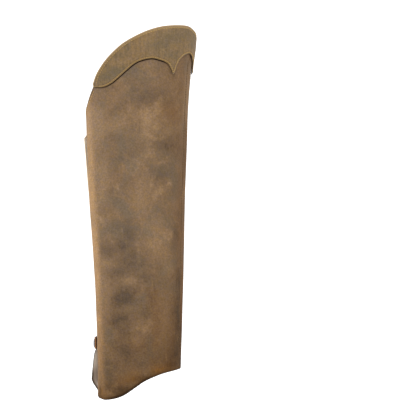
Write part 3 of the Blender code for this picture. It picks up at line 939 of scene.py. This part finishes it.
def patchesAt(patches, turns, heights):
    found = np.zeros(turns.shape)
    for spot in patches:
        across, up = awayFrom(turns, spot.turn) / spot.wide, (heights - spot.height) / spot.tall
        found += spot.amount * np.exp(-(across**2 + up**2))
    return found


def patchMasks(piece, turns, heights):
    kinds = ("stain", "warm", "pale", "amber", "burnt")
    return {kind: patchesAt(piece[kind], turns, heights) for kind in kinds}


def foldAt(piece, heights):
    # the turn at which the leather folds, at each height
    return np.interp(heights, [row[0] for row in piece["fold"]], [row[1] for row in piece["fold"]])


def panelEdges(cuts):
    return lambda turns: (follow(cuts, turns, "hem"), follow(cuts, turns, "top"))


plainSheet = {
    "thickness": leather["thickness"],
    "edgeRound": 0.00055,
    "roll": 0.0,
    "skive": (1.0, 1.0),
    "burnished": ("hem", "top", "first", "last"),
    "held": "stretched",
    "stitchRows": [],
}

outerPanel = {
    **plainSheet,
    "name": "outerPanel",
    "node": "outer_panel",
    "slot": "oiled_leather",
    "firstTurn": fastening["lapTurn"],
    "lastTurn": fastening["flapTurn"] + fastening["overlap"],
    "columnSize": 0.0017,
    "rowSize": 0.0021,
    "burnished": ("hem", "top", "last"),
    "lift": outerLift,
    "flat": (0.203, 0.457),
    "restsOn": ["innerPanel"],
    "rims": {"hem": 2, "top": 3, "first": 4, "last": 3},
    "stitchRows": [
        {"edge": "first", "inset": stitching["lapInset"], "sink": 0.00030},
        {"edge": "top", "inset": stitching["topInset"], "sink": 0.00020},
    ],
    "cuts": rowsOf(
        cut,
        (18, 0.0341, 0.4548), (30, 0.0338, 0.457), (46, 0.0323, 0.4554), (60, 0.0282, 0.4527),
        (74, 0.0231, 0.4478), (89, 0.0155, 0.4408), (103, 0.0083, 0.4325), (112, 0.0045, 0.4246),
        (120, 0.0022, 0.4155), (126, 0.001, 0.4064), (131.5, 0.0002, 0.3948), (135.5, 0.0, 0.3822),
        (140, 0.0007, 0.3718), (146, 0.0014, 0.3601), (152, 0.003, 0.3545), (158, 0.006, 0.352),
        (166, 0.0105, 0.3508), (180, 0.014, 0.3495), (212, 0.015, 0.348),
    ),
    # height and turn of the fold
    "fold": [(0.0, 134.5), (0.05, 137.0), (0.10, 138.5), (0.30, 139.0), (0.36, 141.0)],
    "foldSpan": (-5.0, 2.5, 14.0, 30.8),  # degrees from the fold where the pale band lies
    "dentInset": 0.0030,
    "dentWidth": 0.0005,
    # how wide the painted shadow below the yoke's arch is
    "yokeShadowWidth": 0.0030,
    # the heights, turns or distances from the hem between which the masks rise and fall
    "spans": {
        "wornLitLow": (0.02, 0.12),
        "wornLitHigh": (0.24, 0.31),
        "wornLitTop": (0.315, 0.365),
        "fadedLitTurns": (118.5, 136.5),
        "fadedLitLow": (0.02, 0.22),
        "fadedLitGap": (0.13, 0.17, 0.30, 0.34),
        "fadedLitTop": (0.32, 0.37),
        "paintedShadeHeights": (-0.02, 0.22),
        "paintedShadeTurns": (15, 85),
        "bareHeights": (0.31, 0.35),
        "bareTurns": (18.5, 20.0),
        "dentTurns": (96, 122),
        "scorchDepths": (0.0016, 0.0044),
        "scorchTurns": (50, 78, 120, 136),
        "smokeDepths": (0.0040, 0.0130),
        "smokeTurns": (92, 104, 116, 126),
        "yokeShadowTurns": (41, 46),
        "shadeTurns": (46, 58, 132, 134.5),
        "shadeFade": (112, 128),
    },
    # darker, greyer clouds
    "stain": rowsOf(
        patch,
        (125, 0.298, 0.01, 0.01, 0.35), (104, 0.295, 0.014, 0.008, 0.3), (115, 0.321, 0.01, 0.008, 0.3),
        (88, 0.332, 0.012, 0.008, 0.3), (78, 0.311, 0.01, 0.009, 0.3), (54, 0.313, 0.01, 0.012, 0.7),
        (60, 0.27, 0.012, 0.012, 0.8), (122, 0.256, 0.01, 0.007, 0.6), (127, 0.231, 0.008, 0.008, 0.7),
        (113, 0.21, 0.016, 0.012, 0.5), (95, 0.201, 0.012, 0.01, 0.9), (128, 0.182, 0.009, 0.014, 0.8),
        (106, 0.186, 0.014, 0.01, 0.9), (88, 0.171, 0.012, 0.014, 1.0), (112, 0.156, 0.016, 0.009, 0.9),
        (76, 0.15, 0.012, 0.008, 0.7), (104, 0.132, 0.012, 0.01, 0.8), (34, 0.202, 0.008, 0.014, 0.7),
        (24, 0.1435, 0.007, 0.012, 0.7), (106, 0.119, 0.016, 0.01, 0.9), (113, 0.099, 0.013, 0.01, 0.9),
        (105, 0.084, 0.012, 0.007, 0.7), (107, 0.06, 0.014, 0.01, 0.9), (75, 0.106, 0.009, 0.012, 0.6),
        (29, 0.081, 0.008, 0.02, 0.4), (128, 0.045, 0.01, 0.009, 0.7), (129, 0.031, 0.009, 0.008, 0.6),
        (93, 0.0185, 0.014, 0.006, 0.7), (61, 0.367, 0.015, 0.012, 0.8), (85, 0.37, 0.014, 0.01, 0.5),
        (84, 0.166, 0.013, 0.009, 0.6), (109, 0.169, 0.008, 0.006, 0.35),
        (98, 0.118, 0.008, 0.007, 0.35), (93, 0.09, 0.02, 0.022, 0.32),
        (108, 0.166, 0.016, 0.012, 0.25), (60, 0.046, 0.009, 0.009, 0.35),
        (82, 0.046, 0.014, 0.009, 0.6), (119, 0.047, 0.009, 0.01, 0.5),
    ),
    "warm": rowsOf(
        patch,
        (40, 0.351, 0.011, 0.012, 0.8), (58, 0.356, 0.008, 0.01, 0.6), (30, 0.372, 0.008, 0.022, 0.7),
        (93, 0.3, 0.008, 0.006, 0.4), (24, 0.195, 0.007, 0.03, 0.8), (25, 0.262, 0.008, 0.05, 0.9),
        (58, 0.09, 0.009, 0.045, 0.6), (36, 0.06, 0.01, 0.03, 0.5), (87, 0.07, 0.012, 0.01, 0.4),
    ),
    # paler clouds; the last, beside the lap near the top, is painted light over the shade of the lap step
    "pale": rowsOf(
        patch,
        (133, 0.352, 0.01, 0.01, 0.3), (117, 0.332, 0.014, 0.008, 0.6), (104, 0.342, 0.01, 0.007, 0.5),
        (88, 0.35, 0.014, 0.007, 0.3), (73, 0.324, 0.008, 0.007, 0.4), (47, 0.327, 0.008, 0.008, 0.5),
        (79, 0.264, 0.01, 0.012, 0.4), (81, 0.242, 0.01, 0.012, 0.6), (60, 0.212, 0.012, 0.016, 0.6),
        (129, 0.167, 0.01, 0.006, 0.7), (98, 0.147, 0.012, 0.006, 0.8), (47, 0.179, 0.008, 0.01, 0.6),
        (42, 0.161, 0.009, 0.009, 0.6), (60, 0.191, 0.01, 0.014, 0.5), (99, 0.113, 0.012, 0.007, 0.5),
        (46, 0.099, 0.008, 0.04, 0.5), (122, 0.055, 0.012, 0.007, 0.4), (87, 0.074, 0.01, 0.007, 0.5),
        (128, 0.27, 0.007, 0.03, 0.6), (22, 0.374, 0.005, 0.036, 0.8),
    ),
    "amber": rowsOf(
        patch,
        (54, 0.037, 0.013, 0.006, 0.9), (34, 0.04, 0.01, 0.005, 0.5), (92, 0.028, 0.012, 0.007, 0.9),
        (140, 0.008, 0.01, 0.005, 0.6), (112, 0.022, 0.016, 0.008, 0.4),
    ),
    "burnt": rowsOf(
        patch,
        (22, 0.052, 0.014, 0.03, 0.6), (26, 0.214, 0.008, 0.022, 0.35), (124, 0.016, 0.014, 0.01, 0.5),
        (34, 0.041, 0.01, 0.01, 0.5), (24, 0.118, 0.006, 0.05, 0.5), (104, 0.012, 0.02, 0.006, 0.8),
        (76, 0.026, 0.016, 0.005, 1.0), (143, 0.009, 0.0035, 0.008, 0.9),
    ),
}
outerPanel["edges"] = panelEdges(outerPanel["cuts"])


def paintOuter(turns, heights, toHem):
    masks, spans = patchMasks(outerPanel, turns, heights), outerPanel["spans"]
    # the pale band where the leather folds from the outer side to the back: partly pulled-up leather, partly
    # a painted highlight
    worn = between(turns - foldAt(outerPanel, heights), *outerPanel["foldSpan"])
    worn *= 0.68 + 0.32 * ease(heights, *spans["wornLitLow"]) - 0.30 * ease(heights, *spans["wornLitHigh"])
    masks["worn"] = worn * (1 - 0.45 * ease(heights, *spans["wornLitTop"]))
    # a pale tail from the fold band towards the front: partly faded leather, partly a painted highlight
    faded = ease(turns, *spans["fadedLitTurns"]) * ease(heights, *spans["fadedLitLow"])
    faded *= 1 - 0.75 * between(heights, *spans["fadedLitGap"])
    masks["faded"] = faded * (1 - 0.8 * ease(heights, *spans["fadedLitTop"]))
    # painted shade, darker towards the bottom and towards the shin
    masks["dusk"] = 0.85 * fall(heights, *spans["paintedShadeHeights"]) + 0.50 * fall(turns, *spans["paintedShadeTurns"])
    # the lap's cut edge near the top painted paler: partly raw leather, partly painted light over the shade
    # of the lap step
    masks["bare"] = 0.5 * ease(heights, *spans["bareHeights"]) * fall(turns, *spans["bareTurns"])
    # a dark line beside the hem, and a painted shadow below the yoke's arch
    under = yokeEdges(turns)[0] - heights
    dent = np.exp(-(((toHem - outerPanel["dentInset"]) / outerPanel["dentWidth"]) ** 2))
    yokeShadow = np.exp(-((under / outerPanel["yokeShadowWidth"]) ** 2))
    masks["burnt"] += 0.8 * dent * ease(turns, *spans["dentTurns"])
    masks["burnt"] += 0.45 * yokeShadow * fall(turns, *spans["yokeShadowTurns"])
    # the hem is burnished darker below the calf
    scorch = 0.66 * fall(toHem, *spans["scorchDepths"]) * between(turns, *spans["scorchTurns"])
    smoke = 0.26 * fall(toHem, *spans["smokeDepths"]) * between(turns, *spans["smokeTurns"])
    masks["hemLine"] = scorch + smoke * (1 - scorch)
    masks["underYoke"] = under
    shade = between(turns, *spans["shadeTurns"])
    masks["yokeShade"] = shade * (1 - 0.5 * ease(turns, *spans["shadeFade"]))
    return masks


outerPanel["paint"] = paintOuter

innerPanel = {
    **plainSheet,
    "name": "innerPanel",
    "node": "inner_panel",
    "slot": "oiled_leather",
    "firstTurn": fastening["flapTurn"],
    "lastTurn": 389.0,
    "columnSize": 0.0018,
    "rowSize": 0.0021,
    "skive": (0.5, 0.85),
    "lift": innerLift,
    "flat": (0.207, 0.456),
    "restsOn": ["outerPanel"],
    "rims": {"hem": 2, "top": 3, "first": 2, "last": 3},
    "stitchRows": [{"edge": "top", "inset": stitching["topInset"], "sink": 0.00025}],
    "cuts": rowsOf(
        cut,
        (181, 0.0185, 0.322), (183, 0.0128, 0.3246), (185, 0.0095, 0.3268), (187, 0.0062, 0.3285),
        (190, 0.0026, 0.33), (196, 0.001, 0.3315), (212, 0.0008, 0.3335), (235, 0.002, 0.337),
        (255, 0.009, 0.343), (271, 0.017, 0.356), (283, 0.023, 0.374), (293, 0.027, 0.394),
        (307, 0.0305, 0.415), (321, 0.033, 0.429), (336, 0.0345, 0.44), (352, 0.0343, 0.4485),
        (366, 0.0336, 0.4528), (378, 0.0336, 0.4548), (390, 0.0334, 0.457),
    ),
    "fold": [(0.0, 216.0), (0.15, 214.0), (0.36, 212.0)],
    "foldWidth": 6.0,
    "spans": {
        "bareHeights": (0.10, 0.20),
        "bareTurns": (182, 186),
        "paintedShadeHeights": (-0.02, 0.22),
        "paintedShadeTurns": (325, 366),
        "paintedShadeTop": (0.32, 0.36),
        "warmTurns": (335, 366),
        "shadeTurns": (291, 298, 345, 356),
        "skivedLitHigh": (0.16, 0.22),
        "skivedLitLow": (0.024, 0.040, 0.080, 0.100),
        "skivedLitTurns": (186, 192),
        "fleshShadeHeights": (0.015, 0.050),
        "dyedHeights": (0.022, 0.036),
        "flareTurns": (200, 206),
    },
    "stain": rowsOf(
        patch,
        (262, 0.29, 0.016, 0.012, 0.56), (240, 0.25, 0.013, 0.016, 0.49),
        (284, 0.24, 0.015, 0.012, 0.56), (252, 0.18, 0.018, 0.012, 0.7),
        (276, 0.13, 0.013, 0.015, 0.56), (232, 0.12, 0.014, 0.011, 0.49),
        (246, 0.06, 0.015, 0.012, 0.63), (300, 0.09, 0.014, 0.013, 0.49),
        (304, 0.33, 0.014, 0.012, 0.49), (322, 0.18, 0.012, 0.02, 0.49), (330, 0.3, 0.013, 0.014, 0.42),
        (340, 0.08, 0.012, 0.014, 0.49), (352, 0.24, 0.011, 0.018, 0.42),
        (196, 0.24, 0.011, 0.013, 0.42), (204, 0.09, 0.012, 0.012, 0.49),
        (270, 0.045, 0.013, 0.008, 0.42), (355, 0.37, 0.012, 0.01, 0.42),
    ),
    "warm": rowsOf(
        patch,
        (290, 0.17, 0.012, 0.024, 0.6), (338, 0.36, 0.012, 0.016, 0.6), (312, 0.06, 0.012, 0.02, 0.6),
        (10, 0.12, 0.008, 0.05, 0.6), (8, 0.3, 0.009, 0.04, 0.5), (256, 0.31, 0.012, 0.012, 0.4),
        (190, 0.16, 0.008, 0.05, 0.4),
    ),
    # paler clouds; the last, beside the lap near the top, is painted light over the shade of the lap step
    "pale": rowsOf(
        patch,
        (270, 0.21, 0.014, 0.014, 0.7), (244, 0.3, 0.012, 0.01, 0.6), (296, 0.29, 0.014, 0.012, 0.6),
        (262, 0.09, 0.014, 0.01, 0.6), (314, 0.25, 0.012, 0.018, 0.6), (336, 0.14, 0.01, 0.03, 0.6),
        (350, 0.32, 0.012, 0.014, 0.6), (228, 0.19, 0.01, 0.014, 0.5), (318, 0.38, 0.014, 0.01, 0.6),
        (284, 0.34, 0.01, 0.008, 0.6), (15, 0.376, 0.009, 0.034, 0.8),
    ),
    "amber": rowsOf(
        patch,
        (300, 0.034, 0.016, 0.007, 0.8), (226, 0.01, 0.014, 0.008, 0.8),
        (262, 0.016, 0.012, 0.006, 0.5),
    ),
    "burnt": rowsOf(
        patch,
        (352, 0.044, 0.016, 0.012, 0.7), (248, 0.01, 0.018, 0.006, 0.6), (184, 0.04, 0.006, 0.03, 0.4),
        (10, 0.06, 0.012, 0.04, 0.6),
    ),
}
innerPanel["edges"] = panelEdges(innerPanel["cuts"])


def paintInner(turns, heights, toHem):
    masks, spans = patchMasks(innerPanel, turns, heights), innerPanel["spans"]
    # a soft pale band on both sides of the fold: partly pulled-up leather, partly a painted highlight
    away = (turns - foldAt(innerPanel, heights)) / innerPanel["foldWidth"]
    masks["worn"] = 0.8 * np.exp(-(away**2))
    masks["bare"] = ease(heights, *spans["bareHeights"]) * fall(turns, *spans["bareTurns"])
    # painted shade, darker towards the bottom and towards the shin, and less of it near the top
    dusk = 0.85 * fall(heights, *spans["paintedShadeHeights"]) + 0.62 * ease(turns, *spans["paintedShadeTurns"])
    masks["dusk"] = dusk * (1 - 0.6 * ease(heights, *spans["paintedShadeTop"]))
    masks["warm"] += 0.15 * ease(turns, *spans["warmTurns"])
    masks["underYoke"] = yokeEdges(turns - 360)[0] - heights
    masks["yokeShade"] = 0.6 * between(turns, *spans["shadeTurns"])
    # the flesh side of the flap's flare: paler where it is skived, and painted lighter where it lies in
    # shade
    skived = ease(heights, *spans["skivedLitHigh"]) + 0.8 * between(heights, *spans["skivedLitLow"])
    masks["skived"] = skived * fall(turns, *spans["skivedLitTurns"])
    flare = fall(turns, *spans["flareTurns"])
    # painted shade: the flare's flesh darker towards the bottom
    masks["soiled"] = 0.9 * fall(heights, *spans["fleshShadeHeights"]) * flare
    masks["dyedLip"] = fall(heights, *spans["dyedHeights"]) * flare
    return masks


innerPanel["paint"] = paintInner

yokeOverlay = {
    **plainSheet,
    "name": "yokeOverlay",
    "node": "yoke",
    "slot": "yoke_leather",
    "firstTurn": -73.0,
    "lastTurn": 135.0,
    "columnSize": 0.0013,
    "rowSize": 0.0013,
    "edgeRound": 0.00050,
    "roll": 0.0006,
    "proud": 0.0022,
    "flat": (0.243, 0.078),
    "restsOn": ["outerPanel", "innerPanel"],
    "rims": {"hem": 2, "top": 3, "first": 3, "last": 3},
    "stitchRows": [
        {"edge": "top", "inset": stitching["topInset"], "sink": 0.00035},
        {"edge": "hem", "inset": stitching["yokeHemInset"], "sink": 0.00030},
    ],
    "minWidth": 0.0025,
    # turns where the cut edge is bare, and how far down from the top the yoke is rubbed pale and painted
    # lighter over the shade of its rounded edge
    "bareTurns": (28, 31, 44, 46),
    "rubbedLitDepths": (0.0022, 0.0046),
    # the lower edge: an arch between the two points, and a sweep on either side
    "arch": rowsOf(
        wave,
        (1.0, 0.402), (2.4, 0.4062), (4.6, 0.411), (8.2, 0.4165), (13.2, 0.4204), (18.0, 0.4231),
        (21.5, 0.4241), (24.0, 0.4241), (27.3, 0.4232), (31.3, 0.4214), (35.6, 0.4176), (38.9, 0.4128),
        (41.0, 0.4072), (42.6, 0.401), (43.9, 0.3962),
    ),
    "sweep": rowsOf(
        wave,
        (0.0, 0.3962), (1.0, 0.3966), (2.6, 0.3992), (4.6, 0.4034), (6.3, 0.4067), (8.8, 0.4093),
        (15.5, 0.4122), (24.4, 0.4141), (37.6, 0.4113), (46.8, 0.4064), (61.2, 0.3943), (72.8, 0.3843),
        (81.8, 0.3798), (91.1, 0.3804),
    ),
    "innerRise": 0.0067,
    "innerRiseWidth": 4.0,
    "stain": rowsOf(
        patch,
        (122, 0.392, 0.012, 0.006, 0.9), (110, 0.398, 0.01, 0.006, 0.6), (64, 0.432, 0.01, 0.006, 0.5),
        (47, 0.44, 0.01, 0.01, 0.7), (46, 0.404, 0.006, 0.006, 0.6), (30, 0.446, 0.01, 0.008, 0.5),
        (14, 0.44, 0.01, 0.01, 0.6), (-6, 0.42, 0.008, 0.01, 0.6), (-30, 0.414, 0.012, 0.006, 0.6),
        (-54, 0.396, 0.012, 0.006, 0.8),
    ),
}


def yokeEdges(turns):
    first, last = yokeOverlay["arch"][0].away, yokeOverlay["arch"][-1].away
    end = yokeOverlay["sweep"][-1].away
    awayInside = np.maximum(first - turns, 0) * end / (first - yokeOverlay["firstTurn"])
    awayOutside = np.maximum(turns - last, 0) * end / (yokeOverlay["lastTurn"] - last)
    inside = follow(yokeOverlay["sweep"], awayInside, "height")
    inside = inside + yokeOverlay["innerRise"] * np.exp(-awayInside / yokeOverlay["innerRiseWidth"])
    outside = follow(yokeOverlay["sweep"], awayOutside, "height")
    arch = follow(yokeOverlay["arch"], turns, "height")
    hem = np.where(turns < first, inside, np.where(turns > last, outside, arch))
    outerTop = follow(outerPanel["cuts"], turns, "top")
    innerTop = follow(innerPanel["cuts"], turns + 360, "top")
    top = np.where(turns >= fastening["lapTurn"], outerTop, innerTop)
    return np.minimum(hem, top - yokeOverlay["minWidth"]), top


def paintYoke(turns, heights, toHem):
    bare = 0.45 * between(turns, *yokeOverlay["bareTurns"])
    rubbed = fall(yokeEdges(turns)[1] - heights, *yokeOverlay["rubbedLitDepths"])
    return {"stain": patchesAt(yokeOverlay["stain"], turns, heights), "bare": bare, "rubbed": rubbed}


yokeOverlay["lift"] = lambda turns, heights: yokeOverlay["proud"] + 0.0 * turns * heights
yokeOverlay["edges"] = yokeEdges
yokeOverlay["paint"] = paintYoke

snapTab = {
    **plainSheet,
    "name": "snapTab",
    "node": "snap_tab",
    "slot": "strap_leather",
    "firstTurn": 166.0,
    "lastTurn": 213.0,
    "columnSize": 0.0009,
    "rowSize": 0.0010,
    "flat": (0.040, 0.014),
    "restsOn": ["innerPanel"],
    "rims": {"hem": 2, "top": 2, "first": 2, "last": 2},
    "height": 0.0651,
    "halfWidth": 0.0070,
    "tipFlat": 0.0006,
    "lifts": rowsOf(
        standOff,
        (166, 0.0042), (171, 0.005), (176, 0.0057), (181, 0.0062), (186, 0.0056), (191, 0.0048),
        (197, 0.0044), (213, 0.0044),
    ),
}


def tabPoint(turns):
    lift = follow(snapTab["lifts"], turns, "lift")[..., None]
    return plainPlace(turns, snapTab["height"]) + outwardAt(turns, snapTab["height"]) * lift


def tabEdges(turns):
    # the tip is a half circle
    tip = tabPoint(np.array([snapTab["firstTurn"]]))[0]
    fromTip = np.linalg.norm(tabPoint(turns) - tip, axis=-1)
    inside = np.minimum(fromTip + snapTab["tipFlat"], snapTab["halfWidth"])
    half = np.sqrt(snapTab["halfWidth"] ** 2 - (snapTab["halfWidth"] - inside) ** 2)
    return snapTab["height"] - half, snapTab["height"] + half


snapTab["lift"] = lambda turns, heights: follow(snapTab["lifts"], turns, "lift") + 0.0 * heights
snapTab["edges"] = tabEdges
snapTab["paint"] = lambda turns, heights, toHem: {}

tapes = {
    **plainSheet,
    "slot": "touch_fastener",
    "firstTurn": 188.0,
    "lastTurn": 207.0,
    "columnSize": 0.0018,
    "rowSize": 0.0030,
    "thickness": leather["tape"],
    "edgeRound": 0.00010,
    "rims": {"hem": 0, "top": 0, "first": 0, "last": 0},
    "held": None,
    "edges": lambda turns: (fastening["tapeBottom"] + 0.0 * turns, fastening["tapeTop"] + 0.0 * turns),
    "paint": lambda turns, heights, toHem: {},
}


def hookLift(turns, heights):
    return outerLift(fastening["dipEnd"], heights) + leather["seamGap"] + leather["tape"] + 0.0 * turns


def loopLift(turns, heights):
    return hookLift(turns, heights) + leather["seamGap"] + leather["tape"]


panelLooks = [oiled, flesh, dyedEdge, rawEdge, brownEdge]
makeSheet(outerPanel, panelLooks)
makeSheet(innerPanel, panelLooks)
makeSheet(yokeOverlay, [yokeHide, flesh, dyedEdge, rawEdge])
makeSheet(snapTab, [strap, flesh, tanEdge])
hookTape = {**tapes, "name": "hookTape", "node": "hook_tape", "lift": hookLift}
loopTape = {**tapes, "name": "loopTape", "node": "loop_tape", "lift": loopLift}
makeSheet(hookTape, [tapeLook, tapeLook])
makeSheet(loopTape, [tapeLook, tapeLook])
print("leather made")

# The rows of stitches

rowsOfStitches = {
    # each piece that a row crosses, and the turns between which it does
    "top": [(innerPanel, 187.0, 287.0), (outerPanel, 135.5, 180.0), (yokeOverlay, -69.0, 131.5)],
    "topInside": [(innerPanel, 187.0, 377.0), (outerPanel, 30.0, 211.0)],
    "yokeHemTurns": (-64.0, 128.5),
    "yokeHemSizes": {"pitch": 0.0027, "length": 0.0022},
    "lapHeights": (0.0381, 0.4140),
    "tapeBox": (188.8, 206.2, 0.1030, 0.3090),
    "tabBox": (195.0, 211.0, 0.0606, 0.0696),
    "tabSizes": {"pitch": 0.0026, "length": 0.0021},
}


def topRow(parts, inside=False):
    rows = []
    for piece, start, end in parts:
        turns, heights = edgePath(piece, "top", stitching["topInset"], start, end)
        rows.append(seamOn(piece, turns, heights, inside))
    return rows


stitches = stitchTree()
sew("topStitches", topRow(rowsOfStitches["top"]), goldThread, stitches)
sew("topStitchesInside", topRow(rowsOfStitches["topInside"], inside=True), goldThread, stitches)
path = edgePath(yokeOverlay, "hem", stitching["yokeHemInset"], *rowsOfStitches["yokeHemTurns"])
sew("yokeStitches", [seamOn(yokeOverlay, *path)], goldThread, stitches, **rowsOfStitches["yokeHemSizes"])
path = edgePath(outerPanel, "first", stitching["lapInset"], *rowsOfStitches["lapHeights"])
sew("lapStitches", [seamOn(outerPanel, *path)], brownThread, stitches)
path = boxPath(*rowsOfStitches["tapeBox"])
sew("tapeStitches", [seamOn(innerPanel, *path)], brownThread, stitches)
path = boxPath(*rowsOfStitches["tabBox"])
sew("tabStitches", [seamOn(snapTab, *path)], brownThread, stitches, **rowsOfStitches["tabSizes"])
print("seams sewn")

# The snap

snap = {
    "turn": 172.5,
    "sides": 48,
    "gap": 0.0003,
    # radius and rise of each ring, from the foot to the crown
    "cap": [
        (0.00300, 0.00000), (0.00500, 0.00000), (0.00538, 0.00010), (0.00552, 0.00034),
        (0.00543, 0.00056), (0.00515, 0.00066), (0.00490, 0.00060), (0.00472, 0.00068),
        (0.00430, 0.00098), (0.00350, 0.00124), (0.00240, 0.00139), (0.00120, 0.00147),
        (0.00030, 0.00149),
    ],
    "stud": [
        (0.00100, 0.00000), (0.00385, 0.00000), (0.00400, 0.00018), (0.00385, 0.00042),
        (0.00240, 0.00056), (0.00205, 0.00078), (0.00200, 0.00118), (0.00238, 0.00150),
        (0.00242, 0.00184), (0.00205, 0.00212), (0.00100, 0.00226), (0.00030, 0.00228),
    ],
}


def turnedPiece(name, profile, foot, axis, node):
    side = axis.orthogonal().normalized()
    other = axis.cross(side)
    points, faces = [], []
    sides = snap["sides"]
    for radius, rise in profile:
        for k in range(sides):
            angle = 2 * math.pi * k / sides
            spoke = side * math.cos(angle) + other * math.sin(angle)
            points.append(foot + axis * rise + spoke * radius)
    for ring in range(len(profile) - 1):
        for k in range(sides):
            a, b = ring * sides + k, ring * sides + (k + 1) % sides
            faces.append((a, b, b + sides, a + sides))
    faces.append(tuple(reversed(range(sides))))
    faces.append(tuple(range((len(profile) - 1) * sides, len(profile) * sides)))
    mesh = bpy.data.meshes.new(name)
    mesh.from_pydata([tuple(p) for p in points], [], faces)
    mesh.materials.append(nickel)
    mesh.shade_smooth()
    standIn(name, mesh, node)


at, high = np.array([snap["turn"]]), np.array([snapTab["height"]])
ahead = tabPoint(at + 0.5)[0] - tabPoint(at - 0.5)[0]
capAxis = Vector((-ahead[1], ahead[0], 0.0)).normalized()
tabFace = Vector(place(at, high, snapTab["lift"](at, high))[0])
turnedPiece("snapCap", snap["cap"], tabFace + capAxis * snap["gap"], capAxis, "snap_cap")
studAxis = Vector(outwardAt(at, high)[0])
studFoot = Vector(place(at, high, snap["gap"])[0])
turnedPiece("snapStud", snap["stud"], studFoot, studAxis, "snap_stud")
print("snap made")

# Studio

studio = {
    "lens": 85.0,
    "sensor": 36.0,
    "cameraPlace": (0.0892, -1.237, -0.06545),
    "floorHeight": -0.62,
    "flatRadius": 1.6,
    "wallRadius": 2.6,
    "wallHeight": 3.0,
    "flatRings": 6,
    "bendRings": 12,
    "sides": 64,
    "paint": (0.50, 0.50, 0.50, 1.0),
    "roughness": 0.9,
    # it glows more at the back than behind the camera
    "glowFront": 0.22,
    "glowBack": 0.90,
    "glowSpan": (-1.2, 0.8),
    "world": 0.8,
    "lights": [
        {"name": "key", "place": (-0.6, -1.8, 1.1), "size": 1.2, "watts": 5.6},
        {"name": "front", "place": (-0.35, -2.0, 0.0), "size": 0.9, "watts": 4.1},
        {"name": "rim", "place": (-1.6, -0.2, 0.5), "size": 1.0, "watts": 2.5},
        {"name": "fill", "place": (0.7, -2.0, 0.2), "size": 1.2, "watts": 3.0},
    ],
}


def makeBackdrop():
    # a round white floor that curves up into a wall
    flat, wall, floor = studio["flatRadius"], studio["wallRadius"], studio["floorHeight"]
    flats, bends, sides = studio["flatRings"], studio["bendRings"], studio["sides"]
    rings = [(flat * k / flats, floor) for k in range(1, flats + 1)]
    for k in range(1, bends + 1):
        angle = math.pi / 2 * k / bends
        rings.append((flat + (wall - flat) * math.sin(angle), floor + (wall - flat) * (1 - math.cos(angle))))
    rings.append((wall, floor + studio["wallHeight"]))
    points = [(0.0, 0.0, floor)]
    for radius, height in rings:
        for k in range(sides):
            angle = 2 * math.pi * k / sides
            points.append((radius * math.cos(angle), radius * math.sin(angle), height))
    faces = [(0, 1 + k, 1 + (k + 1) % sides) for k in range(sides)]
    for ring in range(len(rings) - 1):
        for k in range(sides):
            a, b = 1 + ring * sides + k, 1 + ring * sides + (k + 1) % sides
            faces.append((a, a + sides, b + sides, b))
    mesh = bpy.data.meshes.new("backdrop")
    mesh.from_pydata(points, [], faces)
    white, tree, shader, spot = newMaterial("backdropWhite", studio["roughness"], Emission_Strength=1.0)
    shader.inputs["Base Color"].default_value = studio["paint"]
    depth = addNode(tree, "ShaderNodeSeparateXYZ", {0: spot})["Y"]
    glow = spread(tree, depth, *studio["glowSpan"], studio["glowFront"], studio["glowBack"], smooth=True)
    grey = addNode(tree, "ShaderNodeCombineColor", {0: glow, 1: glow, 2: glow})[0]
    tree.links.new(grey, shader.inputs["Emission Color"])
    mesh.materials.append(white)
    mesh.shade_smooth()
    addObject("backdrop", mesh)


def makeStudio():
    scene = bpy.context.scene
    lens = bpy.data.cameras.new("camera")
    lens.lens, lens.sensor_width = studio["lens"], studio["sensor"]
    scene.camera = addObject("camera", lens)
    scene.camera.location = studio["cameraPlace"]
    scene.camera.rotation_euler = (math.pi / 2, 0.0, 0.0)
    for lamp in studio["lights"]:
        light = bpy.data.lights.new(lamp["name"], "AREA")
        light.shape, light.size, light.energy = "DISK", lamp["size"], lamp["watts"]
        made = addObject(lamp["name"], light)
        made.location = lamp["place"]
        made.rotation_euler = (-Vector(lamp["place"])).to_track_quat("-Z", "Y").to_euler()
    world = bpy.data.worlds.new("studio")
    world.use_nodes = True
    sky = world.node_tree.nodes["Background"].inputs
    sky["Color"].default_value = (1.0, 1.0, 1.0, 1.0)
    sky["Strength"].default_value = studio["world"]
    scene.world = world
    scene.view_settings.view_transform = "Standard"


makeBackdrop()
makeStudio()
print("studio set")
